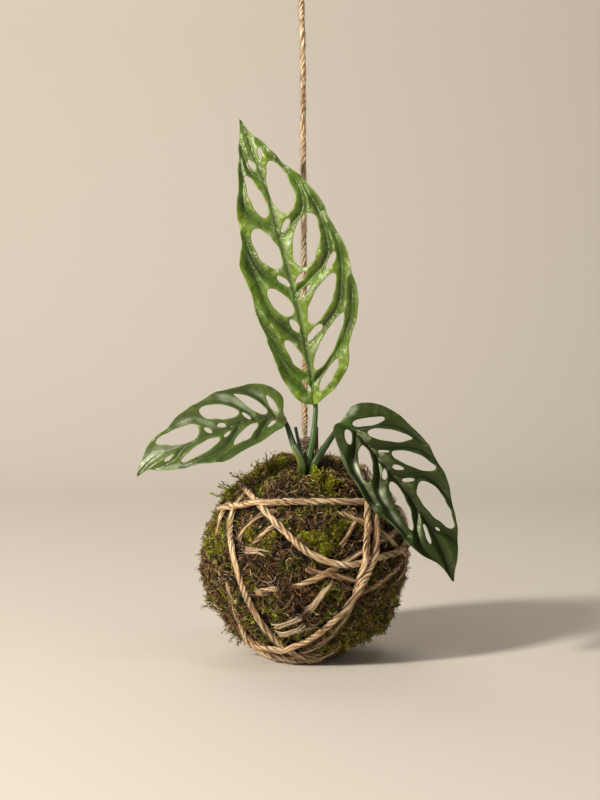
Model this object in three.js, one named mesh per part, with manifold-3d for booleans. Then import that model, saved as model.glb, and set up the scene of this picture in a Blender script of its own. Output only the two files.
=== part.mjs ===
// Kokedama: a young fenestrated-leaf plant whose soil ball is wrapped in moss, bound with jute twine,
// and tied to a jute cord. Millimetres, +Z up, the front faces -Y. The origin is the middle of the
// small flat spot under the moss ball that the plant rests on.
import * as THREE from 'three';
import { mergeVertices } from 'three/addons/utils/BufferGeometryUtils.js';
import Module from 'manifold-3d';

// ---- driving dimensions ----
const CLEARANCE = 0.3;

const BALL = {
  centre: new THREE.Vector3(0, 0, 54),
  mossRadius: 57,
  soilRadius: 47,
  mossDetail: 8,
  soilDetail: 3,
  lumpHeight: 1.4,
  seatRadius: 20,
};

const TWINE = {
  diameter: 4,
  sides: 4,
  step: 19,
  windingRadius: 57.2,
  floorClearance: 0.6,
  pieceSteps: 18,
};

const CROWN = {
  offset: new THREE.Vector3(1.8, -22, 49.7),
  topRadius: 51.5,
  depth: 15,
  width: 13,
};

// The moss closes round the stalks a little to their right.
const MOSS_OPENING = { offset: new THREE.Vector3(4, -22, 49.6), radius: 9.5 };

const CORD = {
  diameter: 3.4,
  sides: 8,
  foot: new THREE.Vector3(0.3, 13, 111.8),
  viewTop: 355,
  lean: -1.4,
};

const KNOT = { radius: 4.4, height: 8.4, wraps: 3, segments: 10 };

const LOOP = { width: 17, height: 30, legSpacing: 5 };

const FOLD_ROUND = 9;
const QUILT = { from: 2, full: 16, vein: 24, lean: 0.8 };
const BLADE = { thickness: 0.8, cell: 11, edgeSteps: 24, holeCorners: [[7, 6], [14, 8], [22, 10], [99, 14]] };

// ---- the windings ----
// Each turn of the twine round the ball, in the order in which it is wound. A route is a list of
// directions from the middle of the ball, in degrees: round from the front (-Y) towards +X, then up.
// `sunk` is how far the turn is pressed into the moss.
const WINDINGS = [
  {
    sunk: 0.5,
    route: [[180, 76], [-125, 62], [-60, 46], [-64, 33], [-63, 16], [-69, -4], [-104, -36],
      [-150, -58], [165, -60], [112, -40], [100, -5], [108, 34], [160, 62], [-120, 72]],
  },
  {
    sunk: 0,
    route: [[-61, 60], [-57, 45], [-53, 32], [-46, 17], [-39, 3], [-34, -12], [-28, -27],
      [-20, -44], [-4, -58], [42, -63], [92, -62], [136, -52], [158, -32], [158, -8], [138, 10],
      [108, 10]],
  },
  {
    sunk: 1.5,
    route: [[80, 1], [59, -4], [38, -12], [20, -22], [0, -34], [-26, -46], [-75, -60],
      [-140, -40], [-175, -12], [140, 6]],
  },
  {
    sunk: 1.5,
    route: [[105, 20], [85, 19], [39, 12], [15, 2], [1, -5], [-21, -10], [-43, -12], [-72, -12],
      [-130, -12], [178, -2], [125, 0]],
  },
  {
    sunk: 1.5,
    route: [[75, 4], [56, 14], [37, 27], [16, 35], [-3, 34], [-20, 25], [-32, 13], [-43, 0],
      [-71, -22], [-118, -38], [-165, -38], [140, -38]],
  },
  {
    sunk: 0.5,
    route: [[90, -48], [43, -56], [2, -63], [-32, -57], [-47, -43], [-50, -28], [-49, -12],
      [-54, 1], [-66, 13], [-112, 28], [-160, 42], [145, 36]],
  },
  {
    sunk: 0,
    route: [[90, 18], [66, 8], [41, 6], [22, 4], [4, 10], [-15, 25], [-38, 40], [-64, 48],
      [-115, 50], [-170, 52], [128, 44]],
  },
  {
    sunk: 0,
    route: [[88, 33], [44, 37], [4, 39], [-39, 36], [-68, 28], [-112, 12], [-155, 2],
      [165, 8], [134, 24], [114, 46]],
  },
  {
    sunk: 0,
    route: [[84, 58], [58, 49], [44, 35], [37, 18], [32, 3], [28, -16], [22, -37],
      [6, -54], [-28, -64], [-80, -64], [-125, -60], [-162, -40], [-150, 0], [-165, 42]],
  },
  {
    sunk: 0,
    route: [[170, 64], [98, 56], [62, 44], [48, 29], [42, 13], [35, 0], [27, -14], [15, -30],
      [-1, -43], [-25, -51], [-47, -46], [-60, -32], [-118, -14], [-142, 30], [180, 68]],
  },
];

// ---- the leaves ----
// A leaf lies in its own frame: s runs from base to tip, t across the blade and n out of its upper
// face. `margin` is the edge from base to tip on the +t side and on the -t side, and each hole is
// [s, t, length, width, turn from the s axis in degrees, how much fatter the end nearer the tip is].
// A stalk rises from `foot` on the crown, (right, rear), past `middle` to `knee`, which is (s, t, n).
const LEAVES = {
  leaf_top: {
    base: [5.1, -15, 137.8],
    tip: [-34.5, -6, 289.3],
    facing: [-0.2, -1, 0.15],
    arch: 8,
    bow: 5.7,
    fold: 0.2,
    color: 0x6f9a2b,
    stalk: { foot: [0.2, 2.6], middle: [4.5, -18.2, 119.5], knee: [-1.6, 0, -1] },
    margin: {
      plus: [[1, 4], [6, 14], [17, 25], [25.5, 27], [35, 33], [46, 38.5], [61, 39.5], [77, 39],
        [92.5, 34.5], [102, 33], [117.5, 25.5], [126.5, 18], [138.5, 11], [151, 2.5]],
      minus: [[1.5, -4], [6, -8], [13, -11], [30, -13.5], [46, -15], [55, -16.5], [64, -15.5],
        [80, -17.5], [94, -13.5], [110, -12], [122, -8.5], [141, -4], [150, -1.5]],
    },
    holes: [
      [135.5, 6.5, 6.5, 2.5, 5, 0], [131, 0.7, 7, 2.5, -20, 0], [115.5, 12.5, 29.5, 13, 0, 0],
      [114, -1, 25, 7, -13, -0.3], [95, 10.5, 8, 3, 45, 0], [84.5, 19.5, 29, 14.5, 23, 0],
      [85.5, -2, 24.5, 11, -19, 0], [70.5, 29.5, 11, 3.5, 41, 0], [67, 2.2, 8.5, 3, -35, 0],
      [66.5, 11.5, 8, 3, 60, 0], [59, 12, 9, 3, 56, 0], [53, 20, 29.5, 10, 42, -0.2],
      [57, -2.5, 19, 8.5, -28, -0.2], [43, 1.6, 8, 3.5, -19, 0], [37, 11, 11.5, 3.5, 57, 0],
      [30.5, 17.5, 34, 7.5, 43, -0.2], [27.5, -2, 19, 6, -17, 0], [11, -1.2, 7, 2.5, -17, 0],
      [13.5, 12.5, 20, 5, 46, 0],
    ],
  },
  leaf_left: {
    base: [-9.3, -20, 130.3],
    tip: [-87.2, -34, 101.1],
    facing: [-0.1, -1, 0.45],
    arch: 8,
    bow: 4.8,
    fold: 0.16,
    color: 0x3f7030,
    stalk: { foot: [-3.3, -1.3], middle: [-6, -22.6, 117.6], knee: [1.5, -0.6, -2.3] },
    margin: {
      plus: [[0.5, 3.5], [-1, 7], [-2.5, 12], [-0.5, 17], [4, 21], [9, 23.2], [18, 24.2],
        [28, 25], [37, 24], [46, 22], [55, 20], [62, 16.5], [70.5, 14.3], [77, 9.5], [83, 3]],
      minus: [[1.5, -2.5], [4, -4.7], [9, -6.2], [18, -9], [28.5, -10.5], [39, -13],
        [46, -11.5], [54, -8.5], [62, -7.3], [68, -5.5], [73, -2], [78, 0.5], [82, 0.8]],
    },
    holes: [
      [4.5, 10.5, 10, 3, 79, 0], [15, 14, 20, 5.5, 50, -0.4], [19.8, 8, 5, 2.3, 55, 0],
      [32.8, 14.5, 21, 8.5, 23, 0], [34, 7.6, 4.5, 2, 22, 0], [41.5, 7.2, 4.5, 2, 43, 0],
      [57.5, 10.5, 24, 8.5, 7, -0.4], [9, -0.5, 6, 1.8, -24, 0], [24, -2, 18, 5.2, -25, 0],
      [33, 1.4, 5, 1.8, -27, 0], [49, -1.5, 23, 5.5, -10, -0.2], [65.5, 1.7, 6.5, 1.6, -8, 0],
    ],
  },
  leaf_right: {
    base: [18.9, -22, 129.1],
    tip: [76.5, -47, 48.5],
    facing: [0.112, -0.901, 0.404],
    arch: 5,
    bow: -5.5,
    fold: 0.15,
    color: 0x3c6e2e,
    stalk: { foot: [3.3, -1.4], middle: [11.9, -22.6, 117.6], knee: [1, -1.2, -2.3] },
    margin: {
      plus: [[0, 4], [3, 7.5], [9.5, 9.8], [16.5, 12.5], [26, 15], [35, 14.8], [42, 16],
        [54, 15], [60, 12], [66, 10.6], [74, 10], [82, 7.3], [90, 2], [97, 0.5]],
      minus: [[-1.5, -4], [-3.5, -9], [-2.5, -14.5], [3.5, -21.5], [13.5, -26.5],
        [23.5, -28.5], [32, -30], [46, -28.8], [59, -26.5], [71, -21.5], [83, -16],
        [93.5, -8.5], [99, -3.2]],
    },
    holes: [
      [8, -12, 17, 4, -64, -0.2], [21, -16.5, 24, 6.5, -46, -0.3], [26.5, -8.8, 5.5, 2, -56, 0],
      [39, -18.5, 24, 7.5, -34, 0], [38, -9.8, 6, 2, -42, 0], [46, -10.2, 6, 2, -53, 0],
      [65, -14.8, 29.5, 11, -1, -0.3], [75.5, -8.6, 3, 1.4, -27, 0], [9.5, 2, 9, 4, 27, 0],
      [26.5, 3.4, 21, 7.2, 29, 0], [36.5, -2, 7, 2.5, 38, 0.3], [55.5, 0.8, 28, 6.8, 12, -0.2],
      [75, -1.9, 11, 2.4, 17, 0],
    ],
  },
};

const wasm = await Module();
wasm.setup();

const plant = new THREE.Group();

// ---- helpers ----
function vec(list) {
  return new THREE.Vector3(...list);
}

// The unit vector `around` degrees from the front towards +X and `up` degrees above the horizon.
function direction(around, up) {
  const a = THREE.MathUtils.degToRad(around);
  const e = THREE.MathUtils.degToRad(up);
  return new THREE.Vector3(Math.cos(e) * Math.sin(a), -Math.cos(e) * Math.cos(a), Math.sin(e));
}

function solidOf(geometry) {
  const bare = geometry.clone();
  bare.deleteAttribute('normal');
  bare.deleteAttribute('uv');
  const merged = mergeVertices(bare, 1e-4);
  return new wasm.Manifold(new wasm.Mesh({
    numProp: 3,
    vertProperties: new Float32Array(merged.attributes.position.array),
    triVerts: new Uint32Array(merged.index.array),
  }));
}

function geometryOf(solid) {
  const mesh = solid.getMesh();
  const geometry = new THREE.BufferGeometry();
  geometry.setAttribute('position', new THREE.BufferAttribute(mesh.vertProperties, 3));
  geometry.setIndex(new THREE.BufferAttribute(mesh.triVerts, 1));
  geometry.computeVertexNormals();
  return geometry;
}

function addPiece(name, shape, color, roughness) {
  const geometry = shape.isBufferGeometry ? shape : geometryOf(shape);
  const material = new THREE.MeshStandardMaterial({ color, roughness, metalness: 0 });
  const mesh = new THREE.Mesh(geometry, material);
  mesh.name = name;
  plant.add(mesh);
}

// A round tube along a smooth curve through the points. `radiusAt` gives its radius at 0..1.
function tube(points, radiusAt, sides, steps) {
  const curve = new THREE.CatmullRomCurve3(points, false, 'centripetal');
  curve.arcLengthDivisions = 400;
  const circle = new THREE.Shape();
  for (let i = 0; i < sides; i += 1) {
    const angle = (2 * Math.PI * i) / sides;
    const corner = [Math.cos(angle), Math.sin(angle)];
    if (i === 0) circle.moveTo(...corner);
    else circle.lineTo(...corner);
  }
  const geometry = new THREE.ExtrudeGeometry(circle, {
    steps, extrudePath: curve, bevelEnabled: false, curveSegments: 1,
  });
  const centres = curve.getSpacedPoints(steps);
  const corners = geometry.attributes.position;
  const corner = new THREE.Vector3();
  for (let i = 0; i < corners.count; i += 1) {
    corner.fromBufferAttribute(corners, i);
    let near = 0;
    centres.forEach((centre, k) => {
      if (centre.distanceToSquared(corner) < centres[near].distanceToSquared(corner)) near = k;
    });
    corner.sub(centres[near]).multiplyScalar(radiusAt(near / steps)).add(centres[near]);
    corners.setXYZ(i, corner.x, corner.y, corner.z);
  }
  return geometry;
}

function smooth(from, to, x) {
  return THREE.MathUtils.smoothstep(x, from, to);
}

// A solid turned so that its Z axis runs along `axis`, and moved to `place`.
function placed(geometry, axis, place) {
  const turn = new THREE.Quaternion().setFromUnitVectors(new THREE.Vector3(0, 0, 1), axis);
  return geometry.applyQuaternion(turn).translate(place.x, place.y, place.z);
}

// ---- twine ----
// The centre line of the whole binding: a smooth curve through every turn's route, laid at the
// depth of its turn, and kept off the surface that the ball stands on.
function bindingLine() {
  const stops = [];
  WINDINGS.forEach(({ sunk, route }) => {
    route.forEach(([around, up]) => {
      stops.push(direction(around, up).multiplyScalar(TWINE.windingRadius - sunk));
    });
  });
  const curve = new THREE.CatmullRomCurve3(stops, false, 'centripetal');
  curve.arcLengthDivisions = 4000;
  const steps = Math.round(curve.getLength() / TWINE.step);
  const lowest = TWINE.diameter / 2 + TWINE.floorClearance;
  const line = [];
  for (let i = 0; i <= steps; i += 1) {
    const u = i / steps;
    const along = curve.getUtoTmapping(u) * (stops.length - 1);
    const stop = Math.min(Math.floor(along), stops.length - 2);
    const depth = THREE.MathUtils.lerp(
      stops[stop].length(), stops[stop + 1].length(), along - stop,
    );
    const point = curve.getPointAt(u).setLength(depth).add(BALL.centre);
    point.z = Math.max(point.z, lowest);
    line.push(point);
  }
  return line;
}

// The tubes of the binding, each too short to cross itself, one starting inside the last.
function bindingSolid(line, radius) {
  const pieces = [];
  for (let from = 0; from < line.length - 1; from += TWINE.pieceSteps) {
    const part = line.slice(from, from + TWINE.pieceSteps + 1);
    if (part.length < 2) break;
    const end = part[part.length - 1].clone();
    const lead = end.clone().sub(part[part.length - 2]).setLength(0.6);
    part[part.length - 1] = end.add(lead);
    pieces.push(solidOf(tube(part, () => radius, TWINE.sides, part.length - 1)));
  }
  return wasm.Manifold.union(pieces);
}

const twineLine = bindingLine();

// The riser is where both ends of the binding come up into the knot.
function riser(radius) {
  const top = CORD.foot.clone();
  top.z -= CLEARANCE;
  const bottom = CORD.foot.clone();
  bottom.z = BALL.centre.z + TWINE.windingRadius - TWINE.diameter;
  return solidOf(tube([bottom, top], () => radius, TWINE.sides, 1));
}

const binding = bindingSolid(twineLine, TWINE.diameter / 2).add(riser(TWINE.diameter * 0.65));
addPiece('binding_twine', binding, 0xb08a55, 0.9);

// ---- moss and soil ----
// How far a direction is from the nearest strand, and how far out that strand lies.
function nearestStrand(point) {
  let nearest = { gap: Infinity, reach: TWINE.windingRadius };
  const closest = new THREE.Vector3();
  for (let i = 1; i < twineLine.length; i += 1) {
    const span = new THREE.Line3(twineLine[i - 1], twineLine[i]);
    span.closestPointToPoint(point, true, closest);
    const gap = closest.distanceTo(point);
    if (gap < nearest.gap) nearest = { gap, reach: closest.distanceTo(BALL.centre) };
  }
  return nearest;
}

// The moss stands in low cushions between the strands and is pressed down under them, and lies flat
// on the spot that the ball rests on.
function mossReach(out) {
  const toFloor = BALL.centre.z / Math.max(-out.z, 0.01);
  if (toFloor < Math.hypot(BALL.centre.z, BALL.seatRadius)) return toFloor;
  const at = out.clone().multiplyScalar(TWINE.windingRadius).add(BALL.centre);
  const { gap, reach } = nearestStrand(at);
  const half = TWINE.diameter / 2;
  const under = reach - half - 5 * CLEARANCE;
  const swell = Math.sin(9 * out.x + 2 * out.z) * Math.cos(8 * out.z - 3 * out.y);
  const ripple = Math.sin(11 * out.y + 4 * out.x);
  const lump = BALL.lumpHeight * 0.5 * (swell + ripple);
  const open = BALL.mossRadius - BALL.lumpHeight + lump;
  return THREE.MathUtils.lerp(under, open, smooth(1.6 * half, 4 * half, gap));
}

const crownAxis = CROWN.offset.clone().normalize();

function mossSolid() {
  const ball = new THREE.IcosahedronGeometry(1, BALL.mossDetail);
  const corners = ball.attributes.position;
  const out = new THREE.Vector3();
  for (let i = 0; i < corners.count; i += 1) {
    out.fromBufferAttribute(corners, i).normalize();
    out.multiplyScalar(mossReach(out)).add(BALL.centre);
    corners.setXYZ(i, out.x, out.y, Math.max(out.z, 0));
  }
  const hollow = new THREE.IcosahedronGeometry(BALL.soilRadius + CLEARANCE, BALL.soilDetail);
  hollow.translate(...BALL.centre.toArray());
  const opening = new THREE.CylinderGeometry(
    MOSS_OPENING.radius, MOSS_OPENING.radius - 1, BALL.mossRadius, 12,
  ).rotateX(Math.PI / 2);
  const axis = MOSS_OPENING.offset.clone().normalize();
  const middle = axis.clone().multiplyScalar(BALL.mossRadius).add(BALL.centre);
  return solidOf(ball)
    .subtract(solidOf(hollow))
    .subtract(solidOf(placed(opening, axis, middle)))
    .subtract(bindingSolid(twineLine, TWINE.diameter / 2 + CLEARANCE));
}

addPiece('moss_cover', mossSolid(), 0x5d6a2a, 1);

// The stub of stem that the petioles stand on, and its roots, grown by `extra` all round.
function rhizomeSolid(extra) {
  const half = CROWN.width / 2 + extra;
  const profile = [
    [0, CROWN.depth + extra], [half * 0.5, CROWN.depth + extra], [half, CROWN.depth * 0.7],
    [half * 0.95, 0], [0, 0],
  ].map(([r, down]) => new THREE.Vector2(r, -down));
  const stub = new THREE.LatheGeometry(profile, 12).rotateX(Math.PI / 2);
  const top = crownAxis.clone().multiplyScalar(CROWN.topRadius).add(BALL.centre);
  const root = crownAxis.clone().multiplyScalar(CROWN.topRadius - 0.7 * CROWN.depth).add(BALL.centre);
  const pieces = [solidOf(placed(stub, crownAxis, top))];
  const rootCount = 4;
  for (let i = 0; i < rootCount; i += 1) {
    const out = direction((360 * i) / rootCount + 20, -35);
    const tip = root.clone().addScaledVector(out, 21).add(new THREE.Vector3(0, 4, -10 + 2 * (i % 2)));
    const knee = root.clone().addScaledVector(out, 12);
    pieces.push(solidOf(tube([root, knee, tip], (u) => 1.8 - 0.8 * u + extra, 4, 3)));
  }
  return wasm.Manifold.union(pieces);
}

function soilSolid() {
  const ball = new THREE.IcosahedronGeometry(BALL.soilRadius, BALL.soilDetail);
  ball.translate(...BALL.centre.toArray());
  return solidOf(ball).subtract(rhizomeSolid(CLEARANCE));
}

addPiece('soil_ball', soilSolid(), 0x2b1f16, 1);
addPiece('rhizome', rhizomeSolid(0), 0x6b5a34, 0.8);

// ---- leaves ----
class Leaf {
  constructor({ base, tip, facing, arch, bow, fold, stalk, margin, holes }) {
    this.base = vec(base);
    this.along = vec(tip).sub(this.base);
    this.length = this.along.length();
    this.along.normalize();
    this.out = vec(facing);
    this.out.addScaledVector(this.along, -this.out.dot(this.along)).normalize();
    this.across = new THREE.Vector3().crossVectors(this.along, this.out);
    Object.assign(this, { arch, bow, fold, stalk, margin, holes });
  }

  // Where the midrib runs: it bows sideways between base and tip.
  rib(s) {
    return this.bow * Math.sin(Math.PI * THREE.MathUtils.clamp(s / this.length, 0, 1));
  }

  // How far the blade stands out of its flat frame: arched along the rib, folded up on both sides
  // of it, and quilted between the side veins.
  height(s, t) {
    const u = s / this.length;
    const off = t - this.rib(s);
    const side = Math.abs(off);
    const phase = (2 * Math.PI * (s - QUILT.lean * side)) / QUILT.vein;
    const quilt = smooth(QUILT.from, QUILT.full, side) * Math.cos(phase);
    const lift = this.fold * (Math.hypot(off, FOLD_ROUND) - FOLD_ROUND);
    return this.arch * 4 * u * (1 - u) + lift + quilt;
  }

  point(s, t, n = 0) {
    return this.base.clone()
      .addScaledVector(this.along, s)
      .addScaledVector(this.across, t)
      .addScaledVector(this.out, this.height(s, t) + n);
  }

  // From (t, s, n) to the plant's frame.
  matrix() {
    return new THREE.Matrix4().makeBasis(this.across, this.along, this.out).setPosition(this.base);
  }

  outline() {
    const edge = (side) => new THREE.CatmullRomCurve3(
      [[0, 0], ...side, [this.length, 0]].map(([s, t]) => new THREE.Vector3(t, s, 0)),
    ).getSpacedPoints(BLADE.edgeSteps);
    const up = edge(this.margin.plus);
    const down = edge(this.margin.minus).reverse();
    const corners = [...up.slice(0, -1), ...down.slice(0, -1)];
    const outline = new THREE.Shape(corners.map(({ x, y }) => new THREE.Vector2(x, y)));
    outline.holes = this.holes.map((hole) => new THREE.Path(this.holeEdge(hole)));
    return outline;
  }

  // An egg: an ellipse that is fatter towards one end.
  holeEdge([s, t, length, width, turn, fat]) {
    const [, corners] = BLADE.holeCorners.find(([limit]) => length < limit);
    const angle = THREE.MathUtils.degToRad(turn);
    const edge = [];
    for (let i = 0; i < corners; i += 1) {
      const phi = (2 * Math.PI * i) / corners;
      const x = (length / 2) * Math.cos(phi);
      const y = (width / 2) * Math.sin(phi) * (1 + fat * Math.cos(phi));
      edge.push(new THREE.Vector2(
        t + x * Math.sin(angle) + y * Math.cos(angle),
        s + x * Math.cos(angle) - y * Math.sin(angle),
      ));
    }
    return edge;
  }

  // The bent sheet that the blade is cut from, split into triangles alike on both faces.
  sheet() {
    const box = new THREE.Box2();
    this.outline().getPoints(1).forEach((corner) => box.expandByPoint(corner));
    box.expandByScalar(2);
    const size = box.getSize(new THREE.Vector2());
    const rows = Math.ceil(size.y / BLADE.cell);
    const columns = Math.ceil(size.x / BLADE.cell);
    const positions = [];
    const index = [];
    const at = (i, j, face) => (i * (columns + 1) + j) * 2 + face;
    for (let i = 0; i <= rows; i += 1) {
      for (let j = 0; j <= columns; j += 1) {
        const s = box.min.y + (size.y * i) / rows;
        const t = box.min.x + (size.x * j) / columns;
        const n = this.height(s, t);
        positions.push(t, s, n - BLADE.thickness / 2, t, s, n + BLADE.thickness / 2);
      }
    }
    const quad = (a, b, c, d) => index.push(a, b, c, a, c, d);
    for (let i = 0; i < rows; i += 1) {
      for (let j = 0; j < columns; j += 1) {
        quad(at(i, j, 1), at(i, j + 1, 1), at(i + 1, j + 1, 1), at(i + 1, j, 1));
        quad(at(i, j, 0), at(i + 1, j, 0), at(i + 1, j + 1, 0), at(i, j + 1, 0));
      }
      quad(at(i + 1, 0, 0), at(i, 0, 0), at(i, 0, 1), at(i + 1, 0, 1));
      quad(at(i, columns, 0), at(i + 1, columns, 0), at(i + 1, columns, 1), at(i, columns, 1));
    }
    for (let j = 0; j < columns; j += 1) {
      quad(at(0, j, 0), at(0, j + 1, 0), at(0, j + 1, 1), at(0, j, 1));
      quad(at(rows, j + 1, 0), at(rows, j, 0), at(rows, j, 1), at(rows, j + 1, 1));
    }
    const geometry = new THREE.BufferGeometry();
    geometry.setAttribute('position', new THREE.Float32BufferAttribute(positions, 3));
    geometry.setIndex(index);
    return geometry;
  }

  // The knee where the stalk turns into the midrib, just short of the blade or behind it.
  knee() {
    return this.point(...this.stalk.knee);
  }

  // The direction of the stalk at the knee: between its rise and the run of the blade.
  kneeTurn() {
    const rise = this.knee().sub(vec(this.stalk.middle)).normalize();
    return rise.multiplyScalar(1.6).add(this.along).normalize();
  }

  // The midrib under the blade, from the knee almost to the tip.
  midrib() {
    const below = -0.9;
    const stops = [0.06, 0.25, 0.5, 0.75, 0.94].map((u) => {
      const s = u * this.length;
      return this.point(s, this.rib(s), below);
    });
    const knee = this.knee();
    const lead = knee.clone().addScaledVector(this.kneeTurn(), 1.2);
    return solidOf(tube([knee, lead, ...stops], (u) => 1.6 - u, 6, 10));
  }

  solid() {
    const cutter = new THREE.ExtrudeGeometry(this.outline(), { depth: 60, bevelEnabled: false });
    cutter.translate(0, 0, -25);
    const blade = solidOf(this.sheet()).intersect(solidOf(cutter));
    return blade.transform(this.matrix().toArray()).add(this.midrib());
  }
}

const leaves = {};
Object.entries(LEAVES).forEach(([name, facts]) => {
  leaves[name] = new Leaf(facts);
  addPiece(name, leaves[name].solid(), facts.color, 0.35);
});

// ---- stems ----
const crownSide = new THREE.Vector3(1, 0, 0).addScaledVector(crownAxis, -crownAxis.x).normalize();
const crownBack = new THREE.Vector3().crossVectors(crownAxis, crownSide);

// A point on the flat top of the rhizome, `side` mm to the right and `back` mm to the rear.
function onCrown(side, back, up = 0) {
  return crownAxis.clone().multiplyScalar(CROWN.topRadius + up).add(BALL.centre)
    .addScaledVector(crownSide, side).addScaledVector(crownBack, back);
}

// A leaf stalk from the crown to the knee under its blade.
function petiole(leaf) {
  const [side, back] = leaf.stalk.foot;
  const end = leaf.knee().addScaledVector(leaf.kneeTurn(), -1.5 * CLEARANCE);
  const below = end.clone().addScaledVector(leaf.kneeTurn(), -2);
  const stops = [onCrown(side, back, CLEARANCE), onCrown(side, back, 7), vec(leaf.stalk.middle)];
  return tube([...stops, below, end], (u) => 2.5 - 0.9 * smooth(0, 0.8, u), 8, 9);
}

addPiece('petiole_top', petiole(leaves.leaf_top), 0x56802c, 0.5);
addPiece('petiole_left', petiole(leaves.leaf_left), 0x4c7029, 0.5);
addPiece('petiole_right', petiole(leaves.leaf_right), 0x4c7029, 0.5);

function spike(side, back, tip, radius) {
  const stops = [onCrown(side, back, CLEARANCE), onCrown(side, back, 7), vec(tip)];
  return tube(stops, (u) => radius * (1 - 0.45 * u), 6, 5);
}

addPiece('young_shoot', spike(-3.6, 3.9, [-4.8, -14, 125.6], 1.4), 0x274a1f, 0.5);
addPiece('old_petiole_stub', spike(4.4, 3.1, [6.5, -12.2, 125.6], 1.3), 0x6a4a28, 0.9);

// ---- cord ----
// A barrel of wraps round the cord, standing on `foot`.
function knot(foot) {
  const profile = [new THREE.Vector2(0, 0), new THREE.Vector2(KNOT.radius * 0.7, 0)];
  const wrap = KNOT.height / KNOT.wraps;
  for (let i = 0; i < KNOT.wraps; i += 1) {
    profile.push(new THREE.Vector2(KNOT.radius, (i + 0.25) * wrap));
    profile.push(new THREE.Vector2(KNOT.radius, (i + 0.75) * wrap));
    profile.push(new THREE.Vector2(KNOT.radius * 0.75, (i + 1) * wrap));
  }
  profile.push(new THREE.Vector2(0, KNOT.height));
  const geometry = new THREE.LatheGeometry(profile, KNOT.segments).rotateX(Math.PI / 2);
  return geometry.translate(foot.x, foot.y, foot.z);
}

const cordRadius = CORD.diameter / 2;
const cordStart = CORD.foot.clone();
cordStart.z += KNOT.height + CLEARANCE;
const cordEnd = new THREE.Vector3(CORD.foot.x + CORD.lean, CORD.foot.y, CORD.viewTop + 6);
const loopKnotFoot = cordEnd.clone();
loopKnotFoot.z += CLEARANCE;
const loopFoot = loopKnotFoot.clone();
loopFoot.z += KNOT.height + CLEARANCE;

addPiece('hanging_knot', knot(CORD.foot), 0xa98350, 0.9);
addPiece('hanging_cord', tube([cordStart, cordEnd], () => cordRadius, CORD.sides, 24), 0xb08a55, 0.9);
addPiece('loop_knot', knot(loopKnotFoot), 0xa98350, 0.9);

// The eye that the cord ends in: up one leg, round the top and down the other.
function loopStops() {
  const { width, height, legSpacing } = LOOP;
  const sides = [[legSpacing / 2, 0], [width * 0.36, 0.25], [width / 2, 0.62], [width * 0.3, 0.93]];
  const right = sides.map(([x, up]) => [x, up * height]);
  const left = right.map(([x, up]) => [-x, up]).reverse();
  return [...right, [0, height], ...left].map(([x, up]) => new THREE.Vector3(
    loopFoot.x + x, loopFoot.y, loopFoot.z + up,
  ));
}

addPiece('cord_loop', tube(loopStops(), () => cordRadius, CORD.sides, 20), 0xb08a55, 0.9);

export default plant;
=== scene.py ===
"""The looks of a kokedama moss ball plant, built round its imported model.

Lengths are millimetres in every class and become metres when a mesh is written. +Z is up and the
front faces -Y. Windings, leaves, stalks and cord repeat the driving values of the model.
"""
import logging
from dataclasses import dataclass
from enum import Enum

import bpy
import numpy as np
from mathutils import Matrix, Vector

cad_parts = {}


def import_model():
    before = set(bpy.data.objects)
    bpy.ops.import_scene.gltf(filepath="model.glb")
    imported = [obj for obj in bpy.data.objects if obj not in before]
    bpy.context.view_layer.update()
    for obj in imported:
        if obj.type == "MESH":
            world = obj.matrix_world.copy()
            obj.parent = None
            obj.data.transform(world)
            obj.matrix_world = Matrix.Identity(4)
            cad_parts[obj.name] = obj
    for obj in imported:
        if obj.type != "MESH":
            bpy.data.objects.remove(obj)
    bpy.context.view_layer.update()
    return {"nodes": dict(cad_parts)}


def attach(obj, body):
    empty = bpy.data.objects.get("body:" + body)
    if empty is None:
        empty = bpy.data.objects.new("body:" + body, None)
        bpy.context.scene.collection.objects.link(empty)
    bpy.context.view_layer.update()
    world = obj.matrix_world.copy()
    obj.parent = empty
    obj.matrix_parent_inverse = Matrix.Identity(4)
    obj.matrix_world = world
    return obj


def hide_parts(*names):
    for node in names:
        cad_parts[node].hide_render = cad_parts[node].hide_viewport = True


Array = np.ndarray
Draws = np.random.Generator
Material = bpy.types.Material
Socket = bpy.types.NodeSocket

LOG = logging.getLogger("kokedama")
MM = 0.001
CM = 0.1
ROOT = "root"
BALL_CENTRE = np.array([0.0, 0.0, 54.0])
BALL_RADIUS = 57.0
FLOOR_SKIN = 0.15
FRONT = np.array([[0.0, -1.0, 0.0]])
TINY = 1e-9
CURVE_STEPS = 48
ROOT_DEPTH = 0.5


# ---- arrays ----
def unit(v: Array) -> Array:
    """Returns v scaled to length one along its last axis."""
    return v / np.maximum(np.linalg.norm(v, axis=-1, keepdims=True), TINY)


def smoothstep(low: float, high: float, x: Array) -> Array:
    """Returns 0 below low, 1 above high, and the cubic 3u^2 - 2u^3 between them."""
    u = np.clip((x - low) / (high - low), 0.0, 1.0)
    return u * u * (3.0 - 2.0 * u)


def mix(a: Array, b: Array, u: Array) -> Array:
    """Returns a where u is 0 and b where u is 1."""
    return a + (b - a) * u


def bell(x: Array, width: Array | float) -> Array:
    """Returns 1 where x is 0, falling off to both sides as exp of -(x / width)^2."""
    return np.exp(-((x / width) ** 2))


def run_of(path: Array) -> Array:
    """Returns how far along its path each point lies."""
    return np.concatenate([[0.0], np.cumsum(np.linalg.norm(np.diff(path, axis=0), axis=1))])


def arc(out: Array, axis: Array) -> Array:
    """Returns the angle between each unit vector and an axis, in radians."""
    return np.arccos(np.clip(out @ axis, -1.0, 1.0))


def degrees_from(out: Array, around: float, up: float) -> Array:
    """Returns how many degrees each unit vector lies from the direction (around, up)."""
    return np.degrees(arc(out, directions([(around, up)])[0]))


def corner_angles(sides: int) -> Array:
    """Returns where the corners of a round section lie, evenly once round."""
    return 2 * np.pi * np.arange(sides) / sides


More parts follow.
